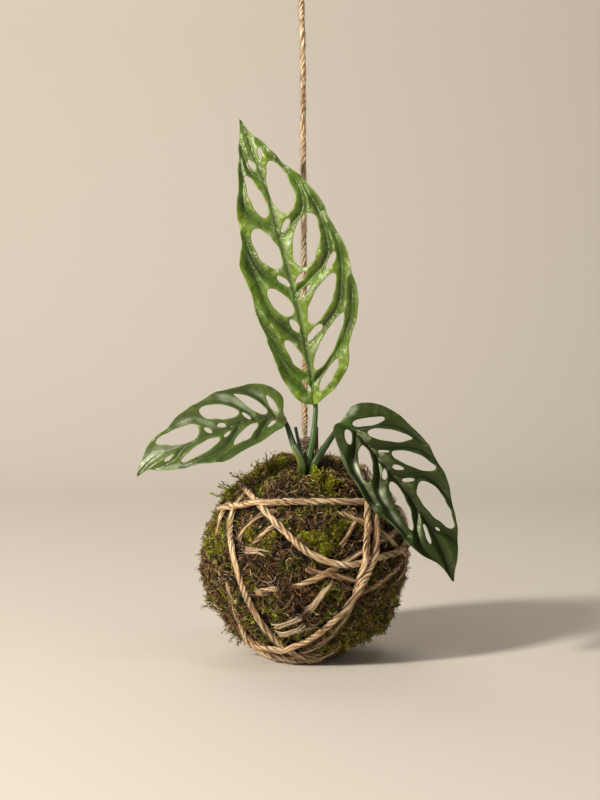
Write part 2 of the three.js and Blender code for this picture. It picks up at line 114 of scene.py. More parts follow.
def square_to(tangent: Array, v: Array, nudge: float = 0.0) -> Array:
    """Returns v made square to the tangent and of length one; the nudge keeps it from vanishing."""
    return unit(v - (v * tangent).sum(axis=-1, keepdims=True) * tangent + nudge)


def directions(route: list) -> Array:
    """Returns a unit vector for each (around, up): degrees from the front towards +X, then up."""
    around, up = np.radians(np.asarray(route, float)).T
    return np.stack([np.cos(up) * np.sin(around), -np.cos(up) * np.cos(around), np.sin(up)], axis=-1)


def through(stops: list, spacing: float) -> Array:
    """Lays points evenly along the centripetal Catmull-Rom curve through the stops.

    Each span is the cubic Hermite curve between two stops, whose end slopes come from the square
    roots of the distances to their neighbours.

    Args:
        stops: the points that the curve passes through.
        spacing: the distance between two points of the result.

    Returns:
        The points, from the first stop to the last.
    """
    inner = np.asarray(stops, float)
    p = np.vstack([2 * inner[0] - inner[1], inner, 2 * inner[-1] - inner[-2]])
    gap = np.sqrt(np.linalg.norm(np.diff(p, axis=0), axis=1))[:, None]
    before, span, after = gap[:-2], gap[1:-1], gap[2:]
    p0, p1, p2, p3 = p[:-3], p[1:-2], p[2:-1], p[3:]
    leave = ((p1 - p0) / before - (p2 - p0) / (before + span) + (p2 - p1) / span) * span
    arrive = ((p2 - p1) / span - (p3 - p1) / (span + after) + (p3 - p2) / after) * span
    u = np.linspace(0.0, 1.0, CURVE_STEPS, endpoint=False)[None, :, None]
    curve = (
        (2 * u**3 - 3 * u**2 + 1) * p1[:, None] + (u**3 - 2 * u**2 + u) * leave[:, None]
        + (3 * u**2 - 2 * u**3) * p2[:, None] + (u**3 - u**2) * arrive[:, None]
    ).reshape(-1, inner.shape[1])
    curve = np.vstack([curve, inner[-1]])
    run = run_of(curve)
    at = np.linspace(0.0, run[-1], max(2, round(run[-1] / spacing) + 1))
    return np.stack([np.interp(at, run, axis) for axis in curve.T], axis=-1)


def any_way_along(out: Array, rng: Draws) -> Array:
    """Returns a random direction square to each unit vector."""
    return unit(np.cross(out, rng.normal(size=out.shape)))


def waves(points: Array, length: float, seed: int, count: int = 16) -> Array:
    """A smooth random field: the sum of sine waves in random directions, mostly from -1 to 1.

    Args:
        points: where the field is read, in the last axis.
        length: the usual length of a wave.
        seed: the seed of the directions and phases.
        count: how many waves are summed.

    Returns:
        The field's value at each point.
    """
    rng = np.random.default_rng(seed)
    turns = unit(rng.normal(size=(count, points.shape[-1])))
    turns *= 2 * np.pi / (length * rng.uniform(0.7, 1.5, (count, 1)))
    phases = rng.uniform(0.0, 2 * np.pi, count)
    return np.sin(points @ turns.T + phases).sum(axis=-1) / np.sqrt(2 * count)


def framed(path: Array, facing: Array) -> tuple[Array, Array, Array]:
    """Gives each point of one or more paths its own axes.

    Args:
        path: points along the second last axis.
        facing: what the normal leans towards, of the path's shape or one that spreads to it.

    Returns:
        (tangent, side, normal), where side x normal is the tangent.
    """
    tangent = unit(np.gradient(path, axis=-2))
    normal = square_to(tangent, facing)
    return tangent, np.cross(normal, tangent), normal


def tone(code: str) -> tuple[float, float, float]:
    """Returns the linear colour of a six-digit sRGB code."""
    raw = np.array([int(code[i:i + 2], 16) for i in (0, 2, 4)]) / 255.0
    linear = np.where(raw <= 0.04045, raw / 12.92, ((raw + 0.055) / 1.055) ** 2.4)
    return tuple(float(x) for x in linear)


# ---- meshes ----
@dataclass
class Skin:
    """A triangle surface: points in mm, triangles, and what its vertices and corners carry."""

    points: Array
    faces: Array
    tint: Array | None = None
    marks: dict[str, Array] | None = None
    uv: Array | None = None

    def placed_on_floor(self) -> "Skin":
        """Presses what reaches below the floor up onto it."""
        self.points[:, 2] = np.maximum(self.points[:, 2], FLOOR_SKIN)
        return self


def joined(skins: list[Skin]) -> Skin:
    """Puts several skins into one, one after another."""
    starts = np.cumsum([0] + [len(skin.points) for skin in skins[:-1]])

    def all_of(part: str) -> Array | None:
        """One after another, what each skin has under that name."""
        rows = [getattr(skin, part) for skin in skins]
        return None if rows[0] is None else np.concatenate(rows)

    faces = np.concatenate([skin.faces + start for skin, start in zip(skins, starts)])
    marks = {key: np.concatenate([skin.marks[key] for skin in skins]) for key in skins[0].marks or {}}
    return Skin(all_of("points"), faces, all_of("tint"), marks, all_of("uv"))


def tubes(centre: Array, side: Array, normal: Array, radius: Array, sides: int) -> Skin:
    """Carries a round section along each of several paths and closes both ends.

    A point is centre + radius (side cos a + normal sin a), with a going once round the section.

    Args:
        centre: paths, (number, rings, 3).
        side: the section's first axis, of the same shape.
        normal: the section's second axis, of the same shape.
        radius: (number, rings, 1) or (number, rings, sides).
        sides: how many corners the section has.

    Returns:
        The skin, with UV values in cm: round the section, then along the path.
    """
    number, rings, _ = centre.shape
    angle = corner_angles(sides)
    around = np.cos(angle)[:, None] * side[:, :, None] + np.sin(angle)[:, None] * normal[:, :, None]
    wall = centre[:, :, None] + np.broadcast_to(radius, (number, rings, sides))[..., None] * around
    ends = np.stack([centre[:, 0], centre[:, -1]], axis=1)
    points = np.concatenate([wall.reshape(number, -1, 3), ends], axis=1)
    r, j = np.meshgrid(np.arange(rings - 1), np.arange(sides), indexing="ij")
    r, j = r.ravel(), j.ravel()
    k = (j + 1) % sides
    a, b, c, d = r * sides + j, r * sides + k, (r + 1) * sides + k, (r + 1) * sides + j
    rim = np.arange(sides)
    last = (rings - 1) * sides
    first_end = np.full(sides, rings * sides)
    faces = np.concatenate([
        np.stack([a, b, c], 1), np.stack([a, c, d], 1),
        np.stack([first_end, (rim + 1) % sides, rim], 1),
        np.stack([first_end + 1, last + rim, last + (rim + 1) % sides], 1),
    ])
    run = np.cumsum(np.linalg.norm(np.diff(centre, axis=1), axis=2), axis=1)
    run = np.concatenate([np.zeros((number, 1)), run], axis=1) * CM
    girth = 2 * np.pi * float(np.mean(radius)) * CM / sides
    u = np.concatenate([np.stack([j, j + 1, j + 1], 1), np.stack([j, j + 1, j], 1)]) * girth
    ring = np.concatenate([np.stack([r, r, r + 1], 1), np.stack([r, r + 1, r + 1], 1)])
    wall_uv = np.stack([np.broadcast_to(u, (number, *u.shape)), run[:, ring]], axis=-1)
    uv = np.concatenate([wall_uv, np.zeros((number, 2 * sides, 3, 2))], axis=1)
    faces = faces[None] + (np.arange(number) * points.shape[1])[:, None, None]
    return Skin(points.reshape(-1, 3), faces.reshape(-1, 3), uv=uv.reshape(-1, 2))


def make(
    name: str, skin: Skin, material: Material, replaces: tuple = (),
    smooth: bool = True,
) -> bpy.types.Object:
    """Writes a skin as a piece of the plant and reports it.

    Args:
        name: the piece's name.
        skin: its surface in mm.
        material: its material.
        replaces: the model's nodes that it stands for.
        smooth: whether its faces are shaded as one curved surface.

    Returns:
        The piece's object, riding on the root body.
    """
    mesh = bpy.data.meshes.new(name)
    corners = skin.faces.astype(np.int32).ravel()
    mesh.vertices.add(len(skin.points))
    mesh.vertices.foreach_set("co", (skin.points * MM).astype(np.float32).ravel())
    mesh.loops.add(len(corners))
    mesh.loops.foreach_set("vertex_index", corners)
    mesh.polygons.add(len(skin.faces))
    mesh.polygons.foreach_set("loop_start", np.arange(0, len(corners), 3, dtype=np.int32))
    mesh.polygons.foreach_set("use_smooth", np.full(len(skin.faces), smooth))
    mesh.update(calc_edges=True)
    if skin.uv is not None:
        layer = mesh.uv_layers.new(name="UVMap")
        layer.data.foreach_set("uv", skin.uv.astype(np.float32).ravel())
    if skin.tint is not None:
        layer = mesh.color_attributes.new(name="tint", type="FLOAT_COLOR", domain="POINT")
        colour = np.concatenate([skin.tint, np.ones((len(skin.tint), 1))], axis=1)
        layer.data.foreach_set("color", colour.astype(np.float32).ravel())
    for mark, values in (skin.marks or {}).items():
        layer = mesh.attributes.new(name=mark, type="FLOAT", domain="POINT")
        layer.data.foreach_set("value", values.astype(np.float32).ravel())
    mesh.materials.append(material)
    piece = bpy.data.objects.new(name, mesh)
    bpy.context.scene.collection.objects.link(piece)
    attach(piece, ROOT)
    if replaces:
        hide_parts(*replaces)
    LOG.info("%s: %d triangles", name, len(skin.faces))
    return piece


# ---- finishes ----
class Nodes:
    """The node tree of one material, with a short call for each node."""

    def __init__(self, name: str, roughness: float, **constants: float) -> None:
        """Starts a material.

        Args:
            name: the material's name.
            roughness: the surface's roughness.
            constants: other sockets of the surface, by name with _ for a space.
        """
        self.material = bpy.data.materials.new(name)
        self.material.use_nodes = True
        self.tree = self.material.node_tree
        self.surface = self.tree.nodes["Principled BSDF"]
        self.surface.inputs["Roughness"].default_value = roughness
        for socket, value in constants.items():
            self.surface.inputs[socket.replace("_", " ")].default_value = value

    def add(self, kind: str, inputs: dict | None = None, **settings: object) -> bpy.types.Node:
        """Adds a node, sets its settings, and links or sets its inputs."""
        node = self.tree.nodes.new(kind)
        for setting, value in settings.items():
            setattr(node, setting, value)
        for socket, value in (inputs or {}).items():
            self.feed(node.inputs[socket], value)
        return node

    def feed(self, socket: Socket, value: object) -> None:
        """Links a socket to another, or sets it to a value."""
        if isinstance(value, Socket):
            self.tree.links.new(value, socket)
        elif isinstance(value, tuple) and len(value) == 3 and socket.type == "RGBA":
            socket.default_value = (*value, 1.0)
        else:
            socket.default_value = value

    def place(self) -> Socket:
        """Object coordinates."""
        return self.add("ShaderNodeTexCoord").outputs["Object"]

    def along(self, stretch: tuple) -> Socket:
        """The piece's own UV values, stretched round and along it."""
        source = self.add("ShaderNodeUVMap", uv_map="UVMap").outputs["UV"]
        return self.add("ShaderNodeMapping", {"Vector": source, "Scale": stretch}).outputs["Vector"]

    def noise(self, vector: Socket, scale: float, detail: float = 3.0, rough: float = 0.55) -> Socket:
        """A noise value from 0 to 1."""
        inputs = {"Vector": vector, "Scale": scale, "Detail": detail, "Roughness": rough}
        return self.add("ShaderNodeTexNoise", inputs).outputs["Fac"]

    def mark(self, name: str) -> Socket:
        """A number that the piece's vertices carry."""
        return self.add("ShaderNodeAttribute", attribute_name=name).outputs["Fac"]

    def tint(self) -> Socket:
        """The colour that the piece's vertices carry."""
        return self.add("ShaderNodeAttribute", attribute_name="tint").outputs["Color"]

    def ramp(self, value: Socket, low: float, high: float) -> Socket:
        """A value spread from 0 at low to 1 at high."""
        inputs = {"Value": value, "From Min": low, "From Max": high}
        return self.add("ShaderNodeMapRange", inputs).outputs["Result"]

    def times(self, a: object, b: object) -> Socket:
        """The product of two values."""
        return self.add("ShaderNodeMath", {0: a, 1: b}, operation="MULTIPLY").outputs[0]

    def plus(self, a: object, b: object) -> Socket:
        """The sum of two values."""
        return self.add("ShaderNodeMath", {0: a, 1: b}, operation="ADD").outputs[0]

    def blend(self, factor: object, a: object, b: object, how: str = "MIX") -> Socket:
        """Colour a, with colour b laid over it by the factor."""
        node = self.add("ShaderNodeMix", data_type="RGBA", blend_type=how)
        for socket, value in zip((0, 6, 7), (factor, a, b)):
            self.feed(node.inputs[socket], value)
        return node.outputs[2]

    def layer(self, colour: Socket, code: str, *shares: object) -> Socket:
        """The colour, with a code's tone laid over it by one share or by the product of two."""
        return self.blend(self.times(*shares) if len(shares) > 1 else shares[0], colour, tone(code))

    def finish(
        self, colour: Socket, height: Socket | None = None,
        depth: float = 0.0, roughness: Socket | None = None,
    ) -> Material:
        """Joins the colour, the relief and the roughness to the surface.

        Args:
            colour: the base colour.
            height: the relief from 0 to 1.
            depth: how deep the relief is, in mm.
            roughness: the roughness where it varies.

        Returns:
            The finished material.
        """
        self.feed(self.surface.inputs["Base Color"], colour)
        if height is not None:
            inputs = {"Height": height, "Strength": 1.0, "Distance": depth * MM}
            bump = self.add("ShaderNodeBump", inputs)
            self.feed(self.surface.inputs["Normal"], bump.outputs["Normal"])
        if roughness is not None:
            self.feed(self.surface.inputs["Roughness"], roughness)
        return self.material


@dataclass(frozen=True)
class LeafFinish:
    """A living leaf: mottled green, lighter on its swells, dark in its creases, with painted silvery
    sheen.

    Its colours are sRGB codes. `gloss` is its roughness, `shine` its specular level, `pucker` the
    depth of its blisters in mm, `lip` how much its midrib's lips show and `coat` its clear coat.
    """

    name: str
    green: str
    light: str
    dark: str
    vein: str
    under: str
    base: str
    gloss: float
    shine: float
    pucker: float
    lip: float
    coat: float
    # The tone of the painted sheen: silvery highlights laid into the colour.
    sheen_tone: str = "a9b49c"
    glint: tuple = (0.94, 1.0, 0.62, 1.0)

    def material(self) -> Material:
        """Builds the leaf's material from its marks: swell, vein, lip, base, rim, under, and the
        painted sheen.
        """
        n = Nodes(self.name, self.gloss, Specular_IOR_Level=self.shine, Coat_Weight=self.coat,
                  Coat_Roughness=self.gloss + 0.05)
        n.surface.inputs["Specular Tint"].default_value = self.glint
        at = n.place()
        broad = n.ramp(n.noise(at, 70.0), 0.36, 0.66)
        pebbles = n.noise(at, 340.0, 2.0, 0.6)
        fine = n.ramp(n.noise(at, 420.0, 4.0), 0.3, 0.75)
        colour = n.blend(broad, tone(self.dark), tone(self.green))
        colour = n.layer(colour, self.light, n.mark("swell"), n.plus(0.2, n.times(fine, 0.6)))
        for mark, share, code in (("vein", 0.8, self.vein), ("lip", self.lip, self.under),
                                  ("base", 0.85, self.base), ("rim", 0.4, self.light),
                                  ("under", 0.65, self.under)):
            colour = n.layer(colour, code, n.mark(mark), share)
        # Painted highlight: the silvery sheen tone laid over the green where the sheen mark says.
        colour = n.layer(colour, self.sheen_tone, n.mark("bloom"), n.plus(0.35, n.times(fine, 0.5)))
        cells = {"Vector": at, "Scale": 620.0}
        veinlets = n.add("ShaderNodeTexVoronoi", cells, feature="DISTANCE_TO_EDGE")
        height = n.plus(n.times(n.ramp(veinlets.outputs["Distance"], 0.0, 0.3), 0.07), pebbles)
        spread = {"Value": fine, "To Min": self.gloss, "To Max": self.gloss + 0.14}
        rough = n.add("ShaderNodeMapRange", spread)
        return n.finish(colour, height, self.pucker, rough.outputs["Result"])


@dataclass(frozen=True)
class MossFinish:
    """Moss: the colour that each shoot carries, broken up by fine specks."""

    name: str
    rough: float = 0.62

    def material(self) -> Material:
        """Builds the material of leaflets and threads."""
        n = Nodes(self.name, self.rough, Specular_IOR_Level=0.3)
        at = n.place()
        speck = n.ramp(n.noise(at, 900.0), 0.3, 0.7)
        shaded = n.blend(1.0, n.tint(), tone("857b6c"), "MULTIPLY")
        colour = n.blend(n.times(speck, 0.55), n.tint(), shaded)
        return n.finish(colour, n.noise(at, 3000.0), 0.05)


@dataclass(frozen=True)
class BedFinish:
    """The matted bed under the shoots: dark humus with brown and green crumbs, darkened to near black
    as painted shade of the deep gaps.
    """

    name: str = "moss bed"

    def material(self) -> Material:
        """Builds the bed's material."""
        n = Nodes(self.name, 0.9, Specular_IOR_Level=0.2)
        at = n.place()
        crumbs = n.noise(at, 520.0, 5.0, 0.7)
        # Near-black tone: partly the humus's own dark colour, partly painted shade deep in the gaps
        # between shoots.
        colour = n.blend(n.ramp(crumbs, 0.42, 0.6), tone("070504"), tone("20160f"))
        colour = n.layer(colour, "1d2110", n.ramp(n.noise(at, 260.0, 5.0, 0.7), 0.58, 0.72))
        return n.finish(colour, crumbs, 1.2)


@dataclass(frozen=True)
class JuteFinish:
    """Jute: golden fibres that run along each ply, with painted shade in the furrows between them."""

    name: str
    pale: str = "fde6bb"
    gold: str = "b4824a"
    dark: str = "45290f"

    def material(self) -> Material:
        """Builds the material on the UV values of a rope's plies."""
        n = Nodes(self.name, 0.7, Specular_IOR_Level=0.35, Sheen_Weight=0.2, Sheen_Roughness=0.5)
        fibres = n.noise(n.along((28.0, 1.0, 1.0)), 1.0, 4.0, 0.7)
        strands = n.noise(n.along((11.0, 0.4, 1.0)), 1.0, 2.0)
        patches = n.noise(n.place(), 60.0, 3.0)
        colour = n.blend(n.ramp(fibres, 0.43, 0.55), tone(self.gold), tone(self.pale))
        colour = n.layer(colour, self.dark, n.ramp(strands, 0.5, 0.38), 0.85)
        colour = n.layer(colour, self.gold, n.ramp(patches, 0.5, 0.7), 0.4)
        # Painted shade: the dark tone where the deep mark says, on the hidden inner side of each ply.
        colour = n.layer(colour, self.dark, n.mark("deep"), 0.85)
        return n.finish(colour, n.plus(fibres, strands), 0.7)


@dataclass(frozen=True)
class StalkFinish:
    """A stalk: streaked green, paler and yellower where the `pale` mark says."""

    name: str
    green: str
    dark: str
    pale: str
    gloss: float = 0.42

    def material(self) -> Material:
        """Builds the material on the stalk's UV values and its `pale` mark."""
        n = Nodes(self.name, self.gloss, Specular_IOR_Level=0.5, Subsurface_Weight=0.08)
        n.surface.inputs["Subsurface Scale"].default_value = MM
        streaks = n.noise(n.along((16.0, 0.9, 1.0)), 1.0, 3.0)
        colour = n.blend(n.ramp(streaks, 0.35, 0.65), tone(self.dark), tone(self.green))
        colour = n.layer(colour, self.pale, n.mark("pale"))
        specks = n.ramp(n.noise(n.place(), 700.0, 2.0), 0.62, 0.72)
        return n.finish(n.layer(colour, self.dark, specks, 0.35), streaks, 0.12)


@dataclass(frozen=True)
class EarthFinish:
    """Damp soil or bark: dark crumbs with lighter grit."""

    name: str
    dark: str
    grit: str

    def material(self) -> Material:
        """Builds the material of the pieces inside the ball."""
        n = Nodes(self.name, 0.88)
        at = n.place()
        crumbs = n.noise(at, 380.0, 6.0, 0.65)
        colour = n.blend(n.ramp(crumbs, 0.45, 0.7), tone(self.dark), tone(self.grit))
        return n.finish(colour, crumbs, 0.8)


@dataclass(frozen=True)
class BackdropFinish:
    """The plain pale sweep of the studio."""

    name: str = "backdrop"
    cream: str = "d0c9c0"

    def material(self) -> Material:
        """Builds the sweep's material."""
        n = Nodes(self.name, 0.9, Specular_IOR_Level=0.2)
        wash = n.noise(n.place(), 1.2, 2.0)
        return n.finish(n.blend(n.times(wash, 0.06), tone(self.cream), tone("cdbb9c")))


# ---- studio ----
@dataclass
class Studio:
    """The camera at the photograph's angle, a pale sweep and soft light from the upper left."""

    eye: tuple = (-2.43, -947.7, 205.5)
    tilt_down: float = 4.0
    lens: float = 79.2
    film: float = 36.0
    near_and_far: tuple = (0.05, 20.0)
    sweep_front: float = -3000.0
    sweep_back: float = 700.0
    sweep_radius: float = 500.0
    sweep_top: float = 3500.0
    half_width: float = 2200.0
    aim: tuple = (0.0, 0.0, 130.0)
    sky: tuple = (1.0, 0.95, 0.85, 1.0)
    sky_strength: float = 0.13
    # Each light: name, place, length of its side, watts, colour.
    lights: tuple = (
        ("key", (-1180.0, -960.0, 860.0), 200.0, 41.0, (1.0, 0.93, 0.82)),
        ("fill", (1100.0, -1300.0, 500.0), 1500.0, 2.4, (1.0, 0.97, 0.93)),
        ("window", (-545.0, -1040.0, 1140.0), 400.0, 3.0, (1.0, 0.98, 0.95)),
        ("top", (480.0, -560.0, 1700.0), 300.0, 2.6, (1.0, 0.98, 0.94)),
        ("rim", (-300.0, 900.0, 1100.0), 900.0, 4.0, (1.0, 0.97, 0.92)),
    )

    def add(self, name: str, data: bpy.types.ID) -> bpy.types.Object:
        """Puts an object with this data into the scene."""
        thing = bpy.data.objects.new(name, data)
        bpy.context.scene.collection.objects.link(thing)
        return thing

    def camera(self) -> None:
        """Places the camera and makes it the scene's."""
        data = bpy.data.cameras.new("camera")
        data.lens = self.lens
        data.sensor_width = self.film
        data.clip_start, data.clip_end = self.near_and_far
        camera = self.add("camera", data)
        camera.location = Vector(self.eye) * MM
        camera.rotation_euler = (np.radians(90.0 - self.tilt_down), 0.0, 0.0)
        bpy.context.scene.camera = camera

    def light(self, name: str, place: tuple, size: float, watts: float, colour: tuple) -> None:
        """Adds one soft square light that points at the plant.

        Args:
            name: the light's name.
            place: where it stands, in mm.
            size: the length of its side, in mm.
            watts: its power.
            colour: its colour.
        """
        data = bpy.data.lights.new(name, "AREA")
        data.size = size * MM
        data.energy = watts
        data.color = colour
        lamp = self.add(name, data)
        lamp.location = Vector(place) * MM
        aim = Vector(self.aim) * MM - lamp.location
        lamp.rotation_euler = aim.to_track_quat("-Z", "Y").to_euler()

    def backdrop(self) -> None:
        """Builds the sweep: a floor, a quarter circle and a wall, drawn out sideways."""
        turn = np.linspace(-np.pi / 2, 0.0, 24)
        bend_y = self.sweep_back + self.sweep_radius * np.cos(turn)
        bend_z = self.sweep_radius * (1.0 + np.sin(turn))
        y = np.concatenate([[self.sweep_front], bend_y, [bend_y[-1]]])
        z = np.concatenate([[0.0], bend_z, [self.sweep_top]])
        x, k = np.meshgrid([-self.half_width, self.half_width], np.arange(len(y)), indexing="ij")
        points = np.stack([x, y[k], z[k]], axis=-1).reshape(-1, 3)
        i = np.arange(len(y) - 1)
        j = i + len(y)
        faces = np.concatenate([np.stack([i, j, j + 1], 1), np.stack([i, j + 1, i + 1], 1)])
        mesh = bpy.data.meshes.new("backdrop")
        mesh.from_pydata((points * MM).tolist(), [], faces.tolist())
        mesh.polygons.foreach_set("use_smooth", np.full(len(faces), True))
        mesh.materials.append(BackdropFinish().material())
        self.add("backdrop", mesh)

    def build(self) -> None:
        """Sets up the camera, the lights and the sweep."""
        self.camera()
        for light in self.lights:
            self.light(*light)
        world = bpy.data.worlds.new("studio")
        world.use_nodes = True
        sky = world.node_tree.nodes["Background"]
        sky.inputs["Color"].default_value = self.sky
        sky.inputs["Strength"].default_value = self.sky_strength
        bpy.context.scene.world = world
        bpy.context.scene.view_settings.view_transform = "Standard"
        self.backdrop()


# ---- jute ----
@dataclass
class Rope:
    """Jute twine: plies twisted round a path, each one a soft bundle of fibres."""

    diameter: float
    plies: int = 3
    pitch: float = 15.0
    sides: int = 10
    flat: float = 1.0
    seed: int = 1
    ply_share: float = 0.29

    def skin(self, path: Array, facing: Array, scale: Array | float = 1.0) -> Skin:
        """Twists the plies round the path.

        A ply's middle is path + arm (side cos p + normal sin p), where p grows by one turn in a
        pitch, and its own section is a circle with four shallow furrows that wind the other way.

        Args:
            path: the middle of the twine.
            facing: what the twine's normal leans towards, such as away from the ball.
            scale: how thick the twine is at each point, as a share of its diameter.

        Returns:
            The plies as one skin.
        """
        _, side, normal = framed(path, facing)
        normal = normal * self.flat
        run = run_of(path)
        ply = np.arange(self.plies)[:, None]
        wander = 0.35 * waves(run[:, None], 30.0, self.seed)
        turn = 2 * np.pi * (ply / self.plies + run / self.pitch + wander) + 0.3 * np.sin(1.7 * ply)
        slack = 1.0 + 0.3 * waves(run[:, None], 14.0, self.seed + 1)
        arm = (scale * self.diameter * (0.5 - self.ply_share) * slack)[:, None]
        centre = path + arm * (np.cos(turn)[..., None] * side + np.sin(turn)[..., None] * normal)
        angle = corner_angles(self.sides)
        furrow = np.sin(4 * angle + (0.5 * run)[None, :, None] + 2.0 * ply[..., None])
        place = np.stack(np.broadcast_arrays(run, 40.0 * ply), -1)
        thick = (1.0 + 0.13 * waves(place, 9.0, self.seed + 3)) * scale
        radius = self.diameter * self.ply_share * (1.0 + 0.05 * furrow) * thick[..., None]
        axes = (np.broadcast_to(axis, centre.shape) for axis in (side, normal))
        skin = tubes(centre, *axes, radius, self.sides)
        x = (arm[:, 0] * np.cos(turn))[..., None] + radius * np.cos(angle)
        y = (arm[:, 0] * np.sin(turn))[..., None] + radius * np.sin(angle)
        outer = np.hypot(x, y) / (arm[:, 0, None] + radius)
        # The deep mark is painted shade: 1 on the inner side of each ply, where the plies hide each
        # other, 0 outside.
        deep = 1.0 - smoothstep(0.66, 0.92, outer.reshape(self.plies, -1))
        skin.marks = {"deep": np.pad(deep, ((0, 0), (0, 2)), constant_values=1.0).ravel()}
        return skin

    def fuzz(self, path: Array, facing: Array, per_mm: float, reach: float) -> Skin:
        """Lifts loose fibres off the twine.

        A fibre starts on the twine, runs along it, and leaves it in a shallow curve.

        Args:
            path: the middle of the twine.
            facing: what the twine's normal leans towards.
            per_mm: how many fibres there are on each mm.
            reach: how far a usual fibre stands off.

        Returns:
            The fibres as one skin.
        """
        rng = np.random.default_rng(self.seed + 50)
        tangent, side, normal = framed(path, facing)
        count = int(run_of(path)[-1] * per_mm)
        at = rng.integers(1, len(path) - 1, count)
        angle = rng.uniform(-0.35 * np.pi, 1.35 * np.pi, count)[:, None]
        out = np.cos(angle) * side[at] + np.sin(angle) * normal[at]
        cross = np.cross(tangent[at], out)
        way = tangent[at] * rng.choice([-1.0, 1.0], (count, 1))
        u = np.linspace(0.0, 1.0, 5)[None, :, None]
        long = rng.gamma(3.0, 1.1, (count, 1, 1)) + 1.4
        lift = rng.gamma(0.9, 0.6, (count, 1, 1)) * reach
        sway = rng.normal(0.0, 0.16, (count, 1, 1)) * long
        line = (
            path[at][:, None] + 0.46 * self.diameter * out[:, None] + way[:, None] * long * u
            + out[:, None] * lift * u**1.6 + cross[:, None] * sway * u**1.3
        )
        return strands(line, rng.uniform(0.045, 0.1, count))


def frayed(path: Array, facing: Array, count: int, seed: int) -> Skin:
    """A frayed length of jute: slender bundles of fibres that run beside each other and part.

    Args:
        path: the middle of the length.
        facing: what its normal leans towards.
        count: how many bundles there are.
        seed: the seed of the random draws.

    Returns:
        The bundles as one skin.
    """
    rng = np.random.default_rng(400 + seed)
    _, side, normal = framed(path, facing)
    first = rng.uniform(0.0, 0.35, (count, 1))
    last = rng.uniform(0.6, 1.0, (count, 1))
    at = mix(first, last, np.linspace(0.0, 1.0, 12)[None]) * (len(path) - 1)
    low = np.minimum(at.astype(int), len(path) - 2)
    part = (at - low)[..., None]
    middle, across, out = (mix(x[low], x[low + 1], part) for x in (path, side, normal))
    place = (np.linspace(-1.6, 1.6, count) + rng.normal(0.0, 0.15, count))[:, None, None]
    offset = place * (1.0 + 0.4 * np.cos(at / len(path) * 6.3)[..., None])
    lift = rng.uniform(0.0, 1.0, (count, 1, 1)) + 0.25 * np.sin(at * 1.3 + 9.0 * first)[..., None]
    line = middle + offset * across + lift * out
    taper = np.sin(np.pi * np.linspace(0.06, 0.94, 12)) ** 0.4
    radius = rng.uniform(0.25, 0.5, (count, 1, 1)) * taper[None, :, None]
    return tubes(line, across, out, radius, 6)


def strands(line: Array, radius: Array) -> Skin:
    """Three-sided threads along the lines, tapering to their tips.

    Args:
        line: the threads' middles, (number, points, 3).
        radius: each thread's radius at its root.

    Returns:
        The threads as one skin.
    """
    rng = np.random.default_rng(len(line))
    facing = unit(rng.normal(size=(len(line), 1, 3)))
    _, side, normal = framed(line, facing)
    taper = 1.0 - 0.75 * np.linspace(0.0, 1.0, line.shape[1]) ** 2
    return tubes(line, side, normal, radius[:, None, None] * taper[None, :, None], 3)


